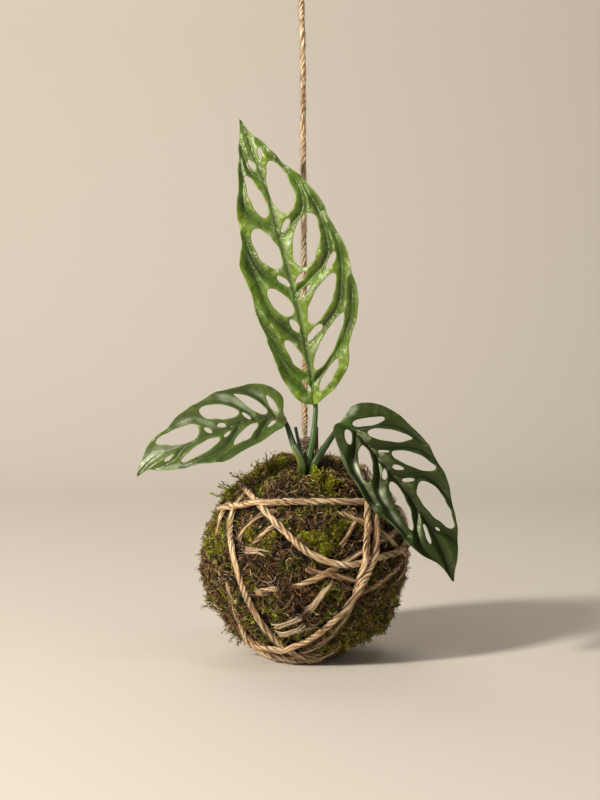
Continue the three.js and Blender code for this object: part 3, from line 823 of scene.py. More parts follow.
@dataclass
class Binding:
    """The one length of twine that is wound round the ball, and the scraps pressed in beside it."""

    rope: Rope
    radius: float = 57.2
    spacing: float = 1.45
    touch: float = 3.0
    seat: float = 0.6
    most_rise: float = 2.4
    rounding: int = 6
    passes: int = 3
    same_stretch: int = 20
    # Each turn: rows of (around, up, how far it is pressed into the moss).
    turns: tuple = (
        ((180, 76, 3), (-125, 62, 4), (-76, 55, 4.5), (-62, 45, 2.5), (-64, 33, 0.8), (-63, 16, 2.8),
         (-69, -4, 5.5), (-104, -36, 4), (-150, -58, 1), (165, -60, 1), (112, -40, 0.5),
         (100, -5, 0.5), (108, 34, 0.5), (160, 62, 0.5), (-120, 72, 0.5)),
        ((-61, 60, 5), (-57, 47, 4), (-53, 32, 1.2), (-46, 17, 0), (-39, 3, 0), (-34, -12, 0),
         (-28, -27, 0), (-20, -44, 0), (-4, -58, 0), (42, -63, 3), (92, -62, 2.5), (136, -52, 0.5),
         (158, -32, 1), (158, -8, 1), (138, 10, 1), (108, 10, 1.5)),
        ((80, 1, 2.5), (59, -4, 2.2), (38, -12, 2.8), (20, -22, 5), (0, -34, 5), (-26, -46, 4),
         (-75, -60, 1.5), (-140, -40, 1.5), (-175, -12, 1.5), (140, 6, 1.5)),
        ((105, 20, 1.5), (85, 19, 1.5), (39, 12, 2.2), (15, 2, 1.2), (1, -5, 1.8), (-10, -8, 4),
         (-21, -10, 2.2), (-30, -11, 3), (-43, -12, 5), (-72, -12, 5.5), (-130, -12, 1.5),
         (178, -2, 1.5), (125, 0, 1.5)),
        ((75, 4, 1.5), (56, 14, 1.8), (37, 27, 2.0), (17, 35, 4), (-3, 34, 5), (-20, 25, 2.6),
         (-32, 13, 3), (-43, 0, 5), (-71, -22, 5.5), (-118, -38, 1.5), (-165, -38, 1.5),
         (140, -38, 1.5)),
        ((90, -48, 2.5), (43, -56, 3), (2, -63, 0.5), (-32, -57, 0.5), (-47, -43, 1.2),
         (-50, -28, 2.6), (-49, -12, 4), (-54, 1, 5), (-66, 13, 5), (-112, 28, 4),
         (-160, 42, 0.5), (145, 36, 0.5)),
        ((90, 18, 0), (66, 8, 0), (41, 6, 0), (22, 4, 0), (4, 10, 0), (-15, 25, 0), (-38, 40, 0.8),
         (-64, 48, 3), (-115, 50, 2), (-170, 52, 0), (128, 44, 0)),
        ((88, 33, 0), (44, 37, 0), (4, 39, 0), (-39, 36, 0), (-68, 31, 1), (-92, 30, 3), (-125, 16, 0),
         (-155, 2, 0), (165, 8, 0), (134, 24, 0), (114, 46, 0)),
        ((84, 58, 0), (58, 49, 0), (44, 35, 0), (37, 18, 0), (32, 3, 0), (28, -16, 1.2),
         (22, -37, 2.6), (6, -54, 2), (-28, -64, 0), (-80, -64, 0), (-125, -60, 0), (-162, -40, 0),
         (-150, 0, 0), (-165, 42, 0)),
        ((170, 64, 0), (98, 56, 0), (62, 44, 0), (48, 29, 0), (42, 13, 0), (35, 0, 0), (27, -14, 0),
         (15, -30, 0), (-1, -43, 0), (-25, -51, 0), (-47, -46, 1), (-60, -32, 4), (-118, -14, 0),
         (-142, 30, 0), (180, 68, 0)),
    )
    # Thinner lengths that come up out of the moss and go under again.
    scraps: tuple = (
        ((36, -9, 4), (28, -5, 1), (14, -1, 1), (5, 1, 2), (-3, 4, 4.5)),
        ((-42, 14, 2.6), (-38, 21, 1.2), (-34, 25, 0.8), (-28, 31, 0.8), (-23, 33, 1.4), (-16, 35, 3)),
        ((37, 29, 3.2), (31, 26, 1.4), (26, 21, 1), (22, 16, 1.4), (19, 11, 3)),
        ((80, 6, 3), (76, 1, 1.4), (72, -4, 1), (67, -9, 1.2), (63, -14, 3)),
    )
    # Pale frayed flakes of twine, pressed flat in the moss.
    flakes: tuple = (
        ((-37, 13, 2.5), (-32, 11, 1), (-24, 11, 0.6), (-18, 9, 2)),
        ((-30, -11, 1.6), (-25, -11, 0.6), (-20, -12, 1.8)),
        ((-23, -34, 1.8), (-14, -30, 0.2), (-7, -27, 0.4), (0, -25, 1.6)),
        ((-22, -39, 2), (-13, -36, 0), (-5, -33, 0), (3, -30, 1.6)),
        ((0, -24, 2.2), (4, -19, 0.8), (8, -13, 0.4), (11, -8, 0.4), (15, -4, 2)),
        ((-48, 2, 2), (-45, -2, 1.2), (-44, -6, 1.2), (-42, -9, 2.4)),
    )

    def course(self, turns: tuple) -> tuple[Array, Array]:
        """Lays a smooth line through the turns' directions.

        Args:
            turns: rows of (around, up, how far it is pressed in) for each turn.

        Returns:
            (unit vectors from the ball's middle, how far the line is pressed in) along it.
        """
        rows = np.concatenate([np.asarray(turn, float) for turn in turns])
        stops = np.column_stack([directions(rows[:, :2]) * self.radius, rows[:, 2]])
        line = through(stops, self.spacing)
        return unit(line[:, :3]), np.maximum(line[:, 3], 0.0)

    def stacked(self, out: Array, sunk: Array) -> Array:
        """Humps each stretch over those that it crosses and that are pressed in deeper or earlier.

        Two stretches a distance d apart side by side have to stand the square root of
        touch^2 - d^2 apart in height; a running mean then rounds the hump.

        Args:
            out: unit vectors from the ball's middle.
            sunk: how far each point is pressed in.

        Returns:
            The distance from the ball's middle along the whole line.
        """
        base = self.radius - self.seat - sunk
        order = np.arange(len(out))
        rank = order / len(out) - 2.0 * sunk
        apart = np.arccos(np.clip(out @ out.T, -1.0, 1.0)) * self.radius
        over = (rank[:, None] > rank[None, :]) & (apart < self.touch)
        over &= np.abs(order[:, None] - order[None, :]) > self.same_stretch
        rise = np.sqrt(np.clip(self.touch**2 - apart**2, 0.0, None))
        reach = base.copy()
        weights = np.exp(-0.5 * (np.arange(-self.rounding, self.rounding + 1) / 2.6) ** 2)
        for _ in range(self.passes):
            lifted = np.where(over, reach[None, :] + rise, 0.0).max(axis=1)
            wanted = np.pad(np.maximum(base, lifted), self.rounding, mode="edge")
            reach = np.convolve(wanted, weights / weights.sum(), mode="valid")
        return np.minimum(np.maximum(reach, base), self.radius + self.most_rise)

    def line(self) -> Array:
        """Returns the middle of the whole binding, kept clear of the floor."""
        out, sunk = self.course(self.turns)
        sway = 0.35 * waves(out * self.radius, 26.0, 5)
        path = out * (self.stacked(out, sunk) + sway)[:, None] + BALL_CENTRE
        path[:, 2] = np.maximum(path[:, 2], 0.5 * self.rope.diameter + 0.5)
        return path

    def short_lines(self, lengths: tuple) -> list[Array]:
        """Returns the middles of short lengths, whose ends dive into the moss."""
        lines = []
        for length in lengths:
            out, sunk = self.course((length,))
            ends = np.minimum(np.arange(len(out)), np.arange(len(out))[::-1]) * self.spacing
            dive = 2.5 * (1.0 - smoothstep(0.0, 5.0, ends))
            lines.append(out * (self.radius - self.seat - sunk - dive)[:, None] + BALL_CENTRE)
        return lines

    def build(self, jute: Material, hair: Material) -> None:
        """Makes the binding, its scraps and flakes, and their loose fibres.

        Args:
            jute: the material of the plies.
            hair: the material of the loose fibres.
        """
        path = self.line()
        away = path - BALL_CENTRE
        scale = 1.0 - 0.12 * np.minimum(self.course(self.turns)[1], 2.5)
        make("binding", self.rope.skin(path, away, scale), jute, ("binding_twine",))
        make("binding_fibres", self.rope.fuzz(path, away, 1.7, 0.6).placed_on_floor(), hair)
        scraps = self.short_lines(self.scraps)
        flakes = self.short_lines(self.flakes)
        thin = Rope(self.rope.diameter * 0.7, plies=2, pitch=18.0, flat=0.8, seed=9)
        flat = Rope(self.rope.diameter * 0.9, seed=12)
        make("binding_scraps", joined([thin.skin(p, p - BALL_CENTRE) for p in scraps]), jute)
        pale = JuteFinish("jute flakes", "fff4da", "dcbd8c", "7a5430").material()
        bundles = joined([frayed(p, p - BALL_CENTRE, 9, k) for k, p in enumerate(flakes)])
        make("binding_flakes", bundles, pale)
        for name, rope, lines, material, per_mm, reach in (
            ("scrap_fibres", thin, scraps, hair, 3.0, 0.7),
            ("flake_fibres", flat, flakes, pale, 2.5, 0.6),
        ):
            fray = joined([rope.fuzz(p, p - BALL_CENTRE, per_mm, reach) for p in lines])
            make(name, fray, material)


@dataclass
class Cord:
    """The cord that the plant hangs by: a knot on the ball, a straight run, a knot and an eye."""

    rope: Rope
    foot: tuple = (0.3, 13.0, 111.8)
    knot_height: float = 6.8
    knot_radius: float = 4.3
    knot_turns: float = 3.2
    top: tuple = (-1.1, 13.0, 361.0)
    gap: float = 0.3
    eye_width: float = 17.0
    eye_height: float = 31.2
    leg_spacing: float = 5.0

    def eye(self) -> list:
        """The stops of the eye loop: up the right leg, round the top and down the left one."""
        x, y, z = self.top
        z += 2 * self.gap + self.knot_height
        half = self.eye_width / 2
        right = [(self.leg_spacing / 2, 0.0), (half * 0.72, 0.25), (half, 0.62), (half * 0.6, 0.93)]
        left = [(-across, up) for across, up in reversed(right)]
        return [(x + across, y, z + up * self.eye_height) for across, up in [*right, (0.0, 1.0), *left]]

    def route(self) -> Array:
        """The middle of the cord, from the top of the lower knot to the end of the eye."""
        x, y, z = self.foot
        start = np.array([x, y, z + self.knot_height + self.gap])
        straight = [tuple(start + (np.array(self.top) - start) * u) for u in np.linspace(0, 1, 9)]
        return through([*straight, *self.eye()], 1.0)

    def knot(self, foot: Array) -> Skin:
        """Wraps of twine round the cord, whose two ends tuck in towards its middle.

        The middle of the wrap is a helix of the knot's height, and its radius closes at both ends.
        """
        wrap = Rope(self.knot_height / 2.95, pitch=11.0, sides=8, seed=4)
        arm = self.knot_radius - 0.5 * wrap.diameter
        u = np.linspace(0.0, 1.0, 110)
        turn = 2 * np.pi * self.knot_turns * u + 0.8
        tuck = smoothstep(0.0, 0.08, u) * smoothstep(0.0, 0.08, 1.0 - u)
        r = arm * (0.3 + 0.7 * tuck)
        low = wrap.diameter / 2
        z = low + (self.knot_height - 2 * low) * u
        path = foot + np.stack([r * np.cos(turn), r * np.sin(turn), z], axis=-1)
        return wrap.skin(path, np.stack([np.cos(turn), np.sin(turn), 0 * u], axis=-1))

    def ends(self) -> Skin:
        """The two ends of the binding, which come up out of the moss into the lower knot."""
        x, y, z = self.foot
        stops = ((4.5, 1.5, -7.5), (2.6, 0.8, -4.0), (1.2, 0.0, -0.6), (0.8, 0.0, 1.5))
        ropes = []
        for lean, back in ((-1.0, 1.0), (1.0, -1.0)):
            path = through([(x + a * lean, y + b * back, z + c) for a, b, c in stops], 1.0)
            ropes.append(Rope(3.0, pitch=12.0, sides=8, seed=6).skin(path, FRONT))
        return joined(ropes)

    def build(self, jute: Material, hair: Material) -> None:
        path = self.route()
        top_knot_foot = np.array(self.top) + [0.0, 0.0, self.gap]
        cord = make("cord", self.rope.skin(path, FRONT), jute, ("hanging_cord", "cord_loop"))
        upper = make("eye_knot", self.knot(top_knot_foot), jute, ("loop_knot",))
        make("ball_knot", joined([self.knot(np.array(self.foot)), self.ends()]), jute,
             ("hanging_knot",))
        fibres = make("cord_fibres", self.rope.fuzz(path, FRONT, 3.6, 1.3), hair)


# ---- leaves ----
def cut_sheet(depth: Array, s: Array, t: Array) -> tuple[Array, Array]:
    """Keeps the part of a grid where the depth is above zero.

    Each cell is two triangles. One that straddles zero is cut where the depth, taken as linear
    along its edges, passes zero.

    Args:
        depth: how far each grid point lies inside the outline, (rows, columns).
        s: the grid points' distance along the leaf.
        t: the grid points' distance across it.

    Returns:
        (points as rows of (s, t), triangles that run anticlockwise seen from the upper face).
    """
    rows, columns = depth.shape
    ids = np.arange(rows * columns).reshape(rows, columns)
    a, b, c, d = (x.ravel() for x in (ids[:-1, :-1], ids[:-1, 1:], ids[1:, 1:], ids[1:, :-1]))
    cells = np.concatenate([np.stack([a, b, c], 1), np.stack([a, c, d], 1)])
    flat = depth.ravel()
    inside = flat[cells] > 0.0
    count = inside.sum(axis=1)

    def odd_first(rows_of: Array, odd: Array) -> Array:
        """Turns each triangle so that its odd corner comes first."""
        order = (np.argmax(odd, axis=1)[:, None] + np.arange(3)) % 3
        return np.take_along_axis(rows_of, order, axis=1)

    one = odd_first(cells[count == 1], inside[count == 1])
    two = odd_first(cells[count == 2], ~inside[count == 2])
    pairs = np.concatenate([one[:, [0, 1]], one[:, [0, 2]], two[:, [0, 1]], two[:, [0, 2]]])
    low, high = pairs.min(axis=1), pairs.max(axis=1)
    keys, slot = np.unique(low * len(flat) + high, return_inverse=True)
    low, high = keys // len(flat), keys % len(flat)
    share = (flat[low] / (flat[low] - flat[high]))[:, None]
    place = np.stack([s.ravel(), t.ravel()], axis=1)
    points = np.concatenate([place, mix(place[low], place[high], share)])
    cut = len(flat) + slot.ravel()
    n, m = len(one), len(two)
    c1, c2, d1, d2 = cut[:n], cut[n:2 * n], cut[2 * n:2 * n + m], cut[2 * n + m:]
    faces = np.concatenate([
        cells[count == 3], np.stack([one[:, 0], c1, c2], 1),
        np.stack([two[:, 1], two[:, 2], d2], 1), np.stack([two[:, 1], d2, d1], 1),
    ])
    used, faces = np.unique(faces, return_inverse=True)
    return points[used], faces.reshape(-1, 3)


def distance_to(points: Array, line: Array) -> Array:
    """The distance in the plane from each point to a line of straight pieces."""
    start, run = line[:-1], np.diff(line, axis=0)
    rel = points[:, None] - start[None]
    u = np.clip((rel * run).sum(-1) / np.maximum((run * run).sum(-1), TINY), 0.0, 1.0)
    return np.linalg.norm(rel - u[..., None] * run, axis=-1).min(axis=1)


def within(points: Array, ring: Array) -> Array:
    """Which points lie inside a closed ring: those that an odd number of its edges pass over."""
    x0, y0 = ring[:-1].T
    x1, y1 = ring[1:].T
    x, y = points[:, :1], points[:, 1:]
    spans = (y0 > y) != (y1 > y)
    cross = x0 + (y - y0) * (x1 - x0) / np.where(y1 == y0, TINY, y1 - y0)
    return (spans & (x < cross)).sum(axis=1) % 2 == 1


@dataclass
class Leaf:
    """One fenestrated leaf: a quilted blade with holes, creased along its veins.

    The leaf's own frame has s from base to tip, t across the blade and n out of its upper face.
    A hole is (s, t, length, width, turn in degrees, how much fatter its far end is). The stalk is
    its foot on the crown (right, rear), the middle of its rise, and its knee as (s, t, n). A patch
    of painted sheen, a silvery highlight laid into the colour, is
    (s, t, length, width, turn, how strong).
    """

    name: str
    slot: str
    base: tuple
    tip: tuple
    facing: tuple
    arch: float
    fold: float
    midrib: tuple
    plus: tuple
    minus: tuple
    holes: tuple
    veins: tuple
    puff: float
    pebbles: float
    ruffle: float
    finish: LeafFinish
    stalk: tuple
    sheen: tuple = ()
    # How strong the painted sheen is on the swells: silvery highlight blotches laid into the colour.
    blotch_sheen: float = 0.0
    half: float = 0.32
    cell: float = 0.56
    fold_round: float = 9.0
    rim_rings: int = 4

    def __post_init__(self) -> None:
        """Works out the leaf's axes and its midrib line."""
        self.start = np.array(self.base, float)
        run = np.array(self.tip, float) - self.start
        self.length = float(np.linalg.norm(run))
        self.along = run / self.length
        out = np.array(self.facing, float)
        self.out = unit(out - (out @ self.along) * self.along)
        self.across = np.cross(self.along, self.out)
        self.rib_line = through([*self.midrib, (self.length, 0.0)], 1.0)

    def rib(self, s: Array) -> Array:
        """How far across the blade the midrib runs."""
        return np.interp(s, self.rib_line[:, 0], self.rib_line[:, 1])

    def edges(self) -> tuple[Array, list[Array]]:
        """The margin as a closed ring, and each hole as a closed ring."""
        ends = (0.0, 0.0), (self.length + 1.6, 0.0)
        up, down = (through([ends[0], *side, ends[1]], 1.2) for side in (self.plus, self.minus))
        phi = np.linspace(0.0, 2 * np.pi, 33)
        rings = []
        for s, t, length, width, turn, fat in self.holes:
            a = np.radians(turn)
            x = 0.5 * length * np.cos(phi)
            y = 0.5 * width * np.sin(phi) * (1.0 + fat * np.cos(phi))
            rings.append(np.stack([s + x * np.cos(a) - y * np.sin(a),
                                   t + x * np.sin(a) + y * np.cos(a)], axis=1))
        return np.concatenate([up, down[-2::-1]]), rings

    def depth(self, points: Array) -> tuple[Array, Array]:
        """How far inside the margin each point lies, and how far from the nearest hole."""
        margin, rings = self.edges()
        from_margin = distance_to(points, margin) * np.where(within(points, margin), 1.0, -1.0)
        from_margin = from_margin + 0.4 * self.ruffle * waves(points, 11.0, 23)
        from_hole = np.full(len(points), 9.0)
        for ring in rings:
            near = np.all((points > ring.min(0) - 6.0) & (points < ring.max(0) + 6.0), axis=1)
            gap = distance_to(points[near], ring) * np.where(within(points[near], ring), -1.0, 1.0)
            from_hole[near] = np.minimum(from_hole[near], gap)
        return from_margin, from_hole + 0.35 * waves(points, 9.0, 24)

    def vein_gap(self, points: Array) -> Array:
        """The distance from each point to the nearest side vein, each run on to the margin."""
        lines = [through(vein, 1.5) for vein in self.veins]
        lines = [np.concatenate([line, [3 * line[-1] - 2 * line[-3]]]) for line in lines]
        return np.min([distance_to(points, line) for line in lines], axis=0)

    def bloom(self, points: Array, swell: Array) -> Array:
        """How much painted sheen each point gets: highlight blotches on the swells, and the sheen
        patches.
        """
        # Painted highlight: silvery blotches where the swells rise, and the listed patches of sheen.
        blotches = smoothstep(0.0, 0.9, waves(points, 10.0, 61))
        most = self.blotch_sheen * (blotches * smoothstep(0.3, 1.0, swell))
        for s, t, length, width, turn, strength in self.sheen:
            a = np.radians(turn)
            turned = np.array([[np.cos(a), -np.sin(a)], [np.sin(a), np.cos(a)]])
            x, y = ((points - (s, t)) @ turned).T
            far = (2 * x / length) ** 2 + (2 * y / width) ** 2
            most = np.maximum(most, strength * np.exp(-(far**1.5)))
        return most

    def height(self, points: Array) -> Array:
        """How far the upper face stands out of the leaf's flat frame.

        The sum of the arch along the leaf, the fold along the midrib, the swell between the
        creases of the veins, a ripple along the margin and small blisters.
        """
        s, t = points.T
        off = t - self.rib(s)
        u = np.clip(s / self.length, -0.05, 1.05)
        side = np.abs(off)
        from_margin, from_hole = self.depth(points)
        gap = self.vein_gap(points)
        crease = bell(gap, 1.0) * smoothstep(0.0, 4.0, from_margin)
        open_blade = smoothstep(0.0, 4.0, np.minimum(gap, from_hole + 1.5)) * smoothstep(1.0, 5.0, side)
        lift = self.fold * (np.hypot(off, self.fold_round) - self.fold_round)
        quilt = self.puff * (smoothstep(0.0, 5.0, np.minimum(gap, side)) - 0.4 * crease)
        verge = np.exp(-np.maximum(from_margin, 0) / 3.5)
        ripple = self.ruffle * np.sin(2 * np.pi * s / 15.0 + np.sign(off)) * verge
        curl = 0.35 * np.exp(-np.maximum(from_hole, 0.0) / 0.9)
        blisters = self.pebbles * open_blade * waves(points, 6.0, 21)
        lips = 0.7 * self.finish.lip * bell(side - 1.5, 0.8) - 0.6 * bell(off, 0.6)
        arch = self.arch * 4 * u * (1 - u)
        return arch + lift + quilt + ripple - curl + blisters + lips * mix(1, 0.5, u)

    def world(self, points: Array, n: Array) -> Array:
        """From (s, t) and n to the plant's frame."""
        flat = self.start + points[:, :1] * self.along + points[:, 1:] * self.across
        return flat + n[:, None] * self.out

    def outline(self) -> tuple[Array, Array]:
        """The blade with its holes, cut out of a flat grid: points as (s, t), and triangles."""
        margin, _ = self.edges()
        low, high = margin.min(0) - 1.5, margin.max(0) + 1.5
        s, t = np.meshgrid(*(np.arange(a, b, self.cell) for a, b in zip(low, high)), indexing="ij")
        depth = np.minimum(*self.depth(np.stack([s.ravel(), t.ravel()], axis=1))) - self.half
        return cut_sheet(depth.reshape(s.shape), s, t)

    def rim(self, points: Array, faces: Array) -> tuple[Array, Array, Array]:
        """Finds the free edges: those that no triangle runs along the other way.

        Args:
            points: the blade's points as (s, t).
            faces: its triangles.

        Returns:
            (the points on free edges, the edges as pairs of places in that list, and the way out
            of the blade at each of those points: the sum of its two edges' normals).
        """
        edge = np.concatenate([faces[:, [0, 1]], faces[:, [1, 2]], faces[:, [2, 0]]])
        codes, back = edge @ [len(points), 1], edge @ [1, len(points)]
        edge = edge[~np.isin(codes, back)]
        run = points[edge[:, 1]] - points[edge[:, 0]]
        normal = np.stack([-run[:, 1], run[:, 0]], axis=1)
        outward = np.zeros_like(points)
        for end in edge.T:
            np.add.at(outward, end, normal)
        outward = unit(outward) * (-1.0 if self.turned(points, edge, normal) else 1.0)
        verge, local = np.unique(edge, return_inverse=True)
        return verge, local.reshape(-1, 2), outward[verge]

    def marks(self, points: Array, off: Array, gap: Array, around: Array) -> dict[str, Array]:
        """Works out the marks that the finish reads, on the upper face, the under face and the rim.

        Args:
            points: the blade's points as (s, t).
            off: how far each one lies from the midrib.
            gap: how far it lies from the nearest side vein.
            around: which of the points each point of the rim belongs to.

        Returns:
            The marks by name.
        """
        groove = bell(off, mix(1.5, 0.5, self.finish.lip * 2))
        swell = smoothstep(0.5, 5.0, np.minimum(gap, np.abs(off) + 1.0))
        stem = np.exp(-(np.maximum(points[:, 0], 0.0) / 7.0) ** 2 - (off / 3.0) ** 2)
        # Each mark on the upper face, and its share on the under face; the sheen mark is a painted
        # highlight.
        faced = (
            ("bloom", self.bloom(points, swell), 0.0), ("swell", swell, 1.0), ("base", stem, 1.0),
            ("vein", np.clip(0.7 * bell(gap, 0.5) + groove, 0.0, 1.0), 0.3),
            ("lip", bell(np.abs(off) - 1.3, 0.7), 1.0),
        )
        marks = {name: np.concatenate([x, x * below, x[around]]) for name, x, below in faced}
        rim = np.exp(-np.minimum(*self.depth(points)) / 0.45)
        marks["rim"] = np.concatenate([rim, rim, np.ones(len(around))])
        marks["under"] = np.repeat([0.0, 1.0, 0.0], [len(points), len(points), len(around)])
        return marks

    def build(self) -> None:
        """Makes the blade: upper face, under face with its raised ribs, and a rounded rim.

        The rim is half a circle of the blade's half thickness, carried along every free edge.
        """
        points, faces = self.outline()
        verge, local, outward = self.rim(points, faces)
        height = self.height(points)
        off = points[:, 1] - self.rib(points[:, 0])
        u = np.clip(points[:, 0] / self.length, 0.0, 1.0)
        gap = self.vein_gap(points)
        ridge = mix(1.7, 0.25, u) * bell(off, mix(1.5, 0.7, u)) + 0.35 * bell(gap, 0.6)
        upper = self.world(points, height + self.half)
        lower = self.world(points, height - self.half - ridge)
        angle = np.linspace(0.5 * np.pi, -0.5 * np.pi, self.rim_rings + 1)[1:-1, None]
        bulge = self.half * np.cos(angle)[..., None] * outward[None]
        drop = self.half * np.sin(angle)
        rings = [self.world(points[verge] + wide, height[verge] + down)
                 for wide, down in zip(bulge, drop)]
        count = len(points)
        inner = [2 * count + len(verge) * k + np.arange(len(verge)) for k in range(len(rings))]
        loops = [verge, *inner, verge + count]
        i, j = local.T
        walls = [np.stack([above[j], *pair], 1) for above, below in zip(loops[:-1], loops[1:])
                 for pair in ((above[i], below[i]), (below[i], below[j]))]
        skin = Skin(np.concatenate([upper, lower, *rings]),
                    np.concatenate([faces, faces[:, ::-1] + count, *walls]),
                    marks=self.marks(points, off, gap, np.tile(verge, len(rings))))
        make(f"{self.name}_blade", skin, self.finish.material(), (self.name,))

    def turned(self, points: Array, edge: Array, normal: Array, sample: int = 200) -> bool:
        """Whether the edge normals point into the blade, tested by a small step along them."""
        middle = points[edge].mean(axis=1)[:sample]
        ahead = np.minimum(*self.depth(middle + 0.05 * unit(normal[:sample])))
        return bool(ahead.mean() > np.minimum(*self.depth(middle)).mean())

    def knee(self) -> Array:
        """Where the stalk turns into the midrib, just short of the blade or behind it."""
        return self.behind(*self.stalk[2])

    def behind(self, s: float, t: float, n: float) -> Array:
        """A point n mm out of the blade's middle, behind it where n is below zero."""
        place = np.array([[s, t]])
        return self.world(place, self.height(place) + n)[0]


# One kind of leaf in three finishes: the top leaf's lighter yellow-green is partly painted sunlight,
# the right leaf's very dark green partly painted shade.
TOP_FINISH = LeafFinish(
    "top leaf", "3f5e02", "708808", "1c3402", "162a02", "6f8650", "7f9a2c", 0.4, 0.9, 0.7, 0.45, 0.0,
)
LEFT_FINISH = LeafFinish(
    "left leaf", "384e0c", "526818", "243806", "1a2a04", "6c844a", "4e4a2c", 0.36, 1.0, 0.4, 0.1, 0.2,
)
RIGHT_FINISH = LeafFinish(
    "right leaf", "1b2a02", "283a04", "101c02", "0c0c04", "465e30", "3a5818", 0.34, 0.45, 0.2, 0.0, 0.0,
)

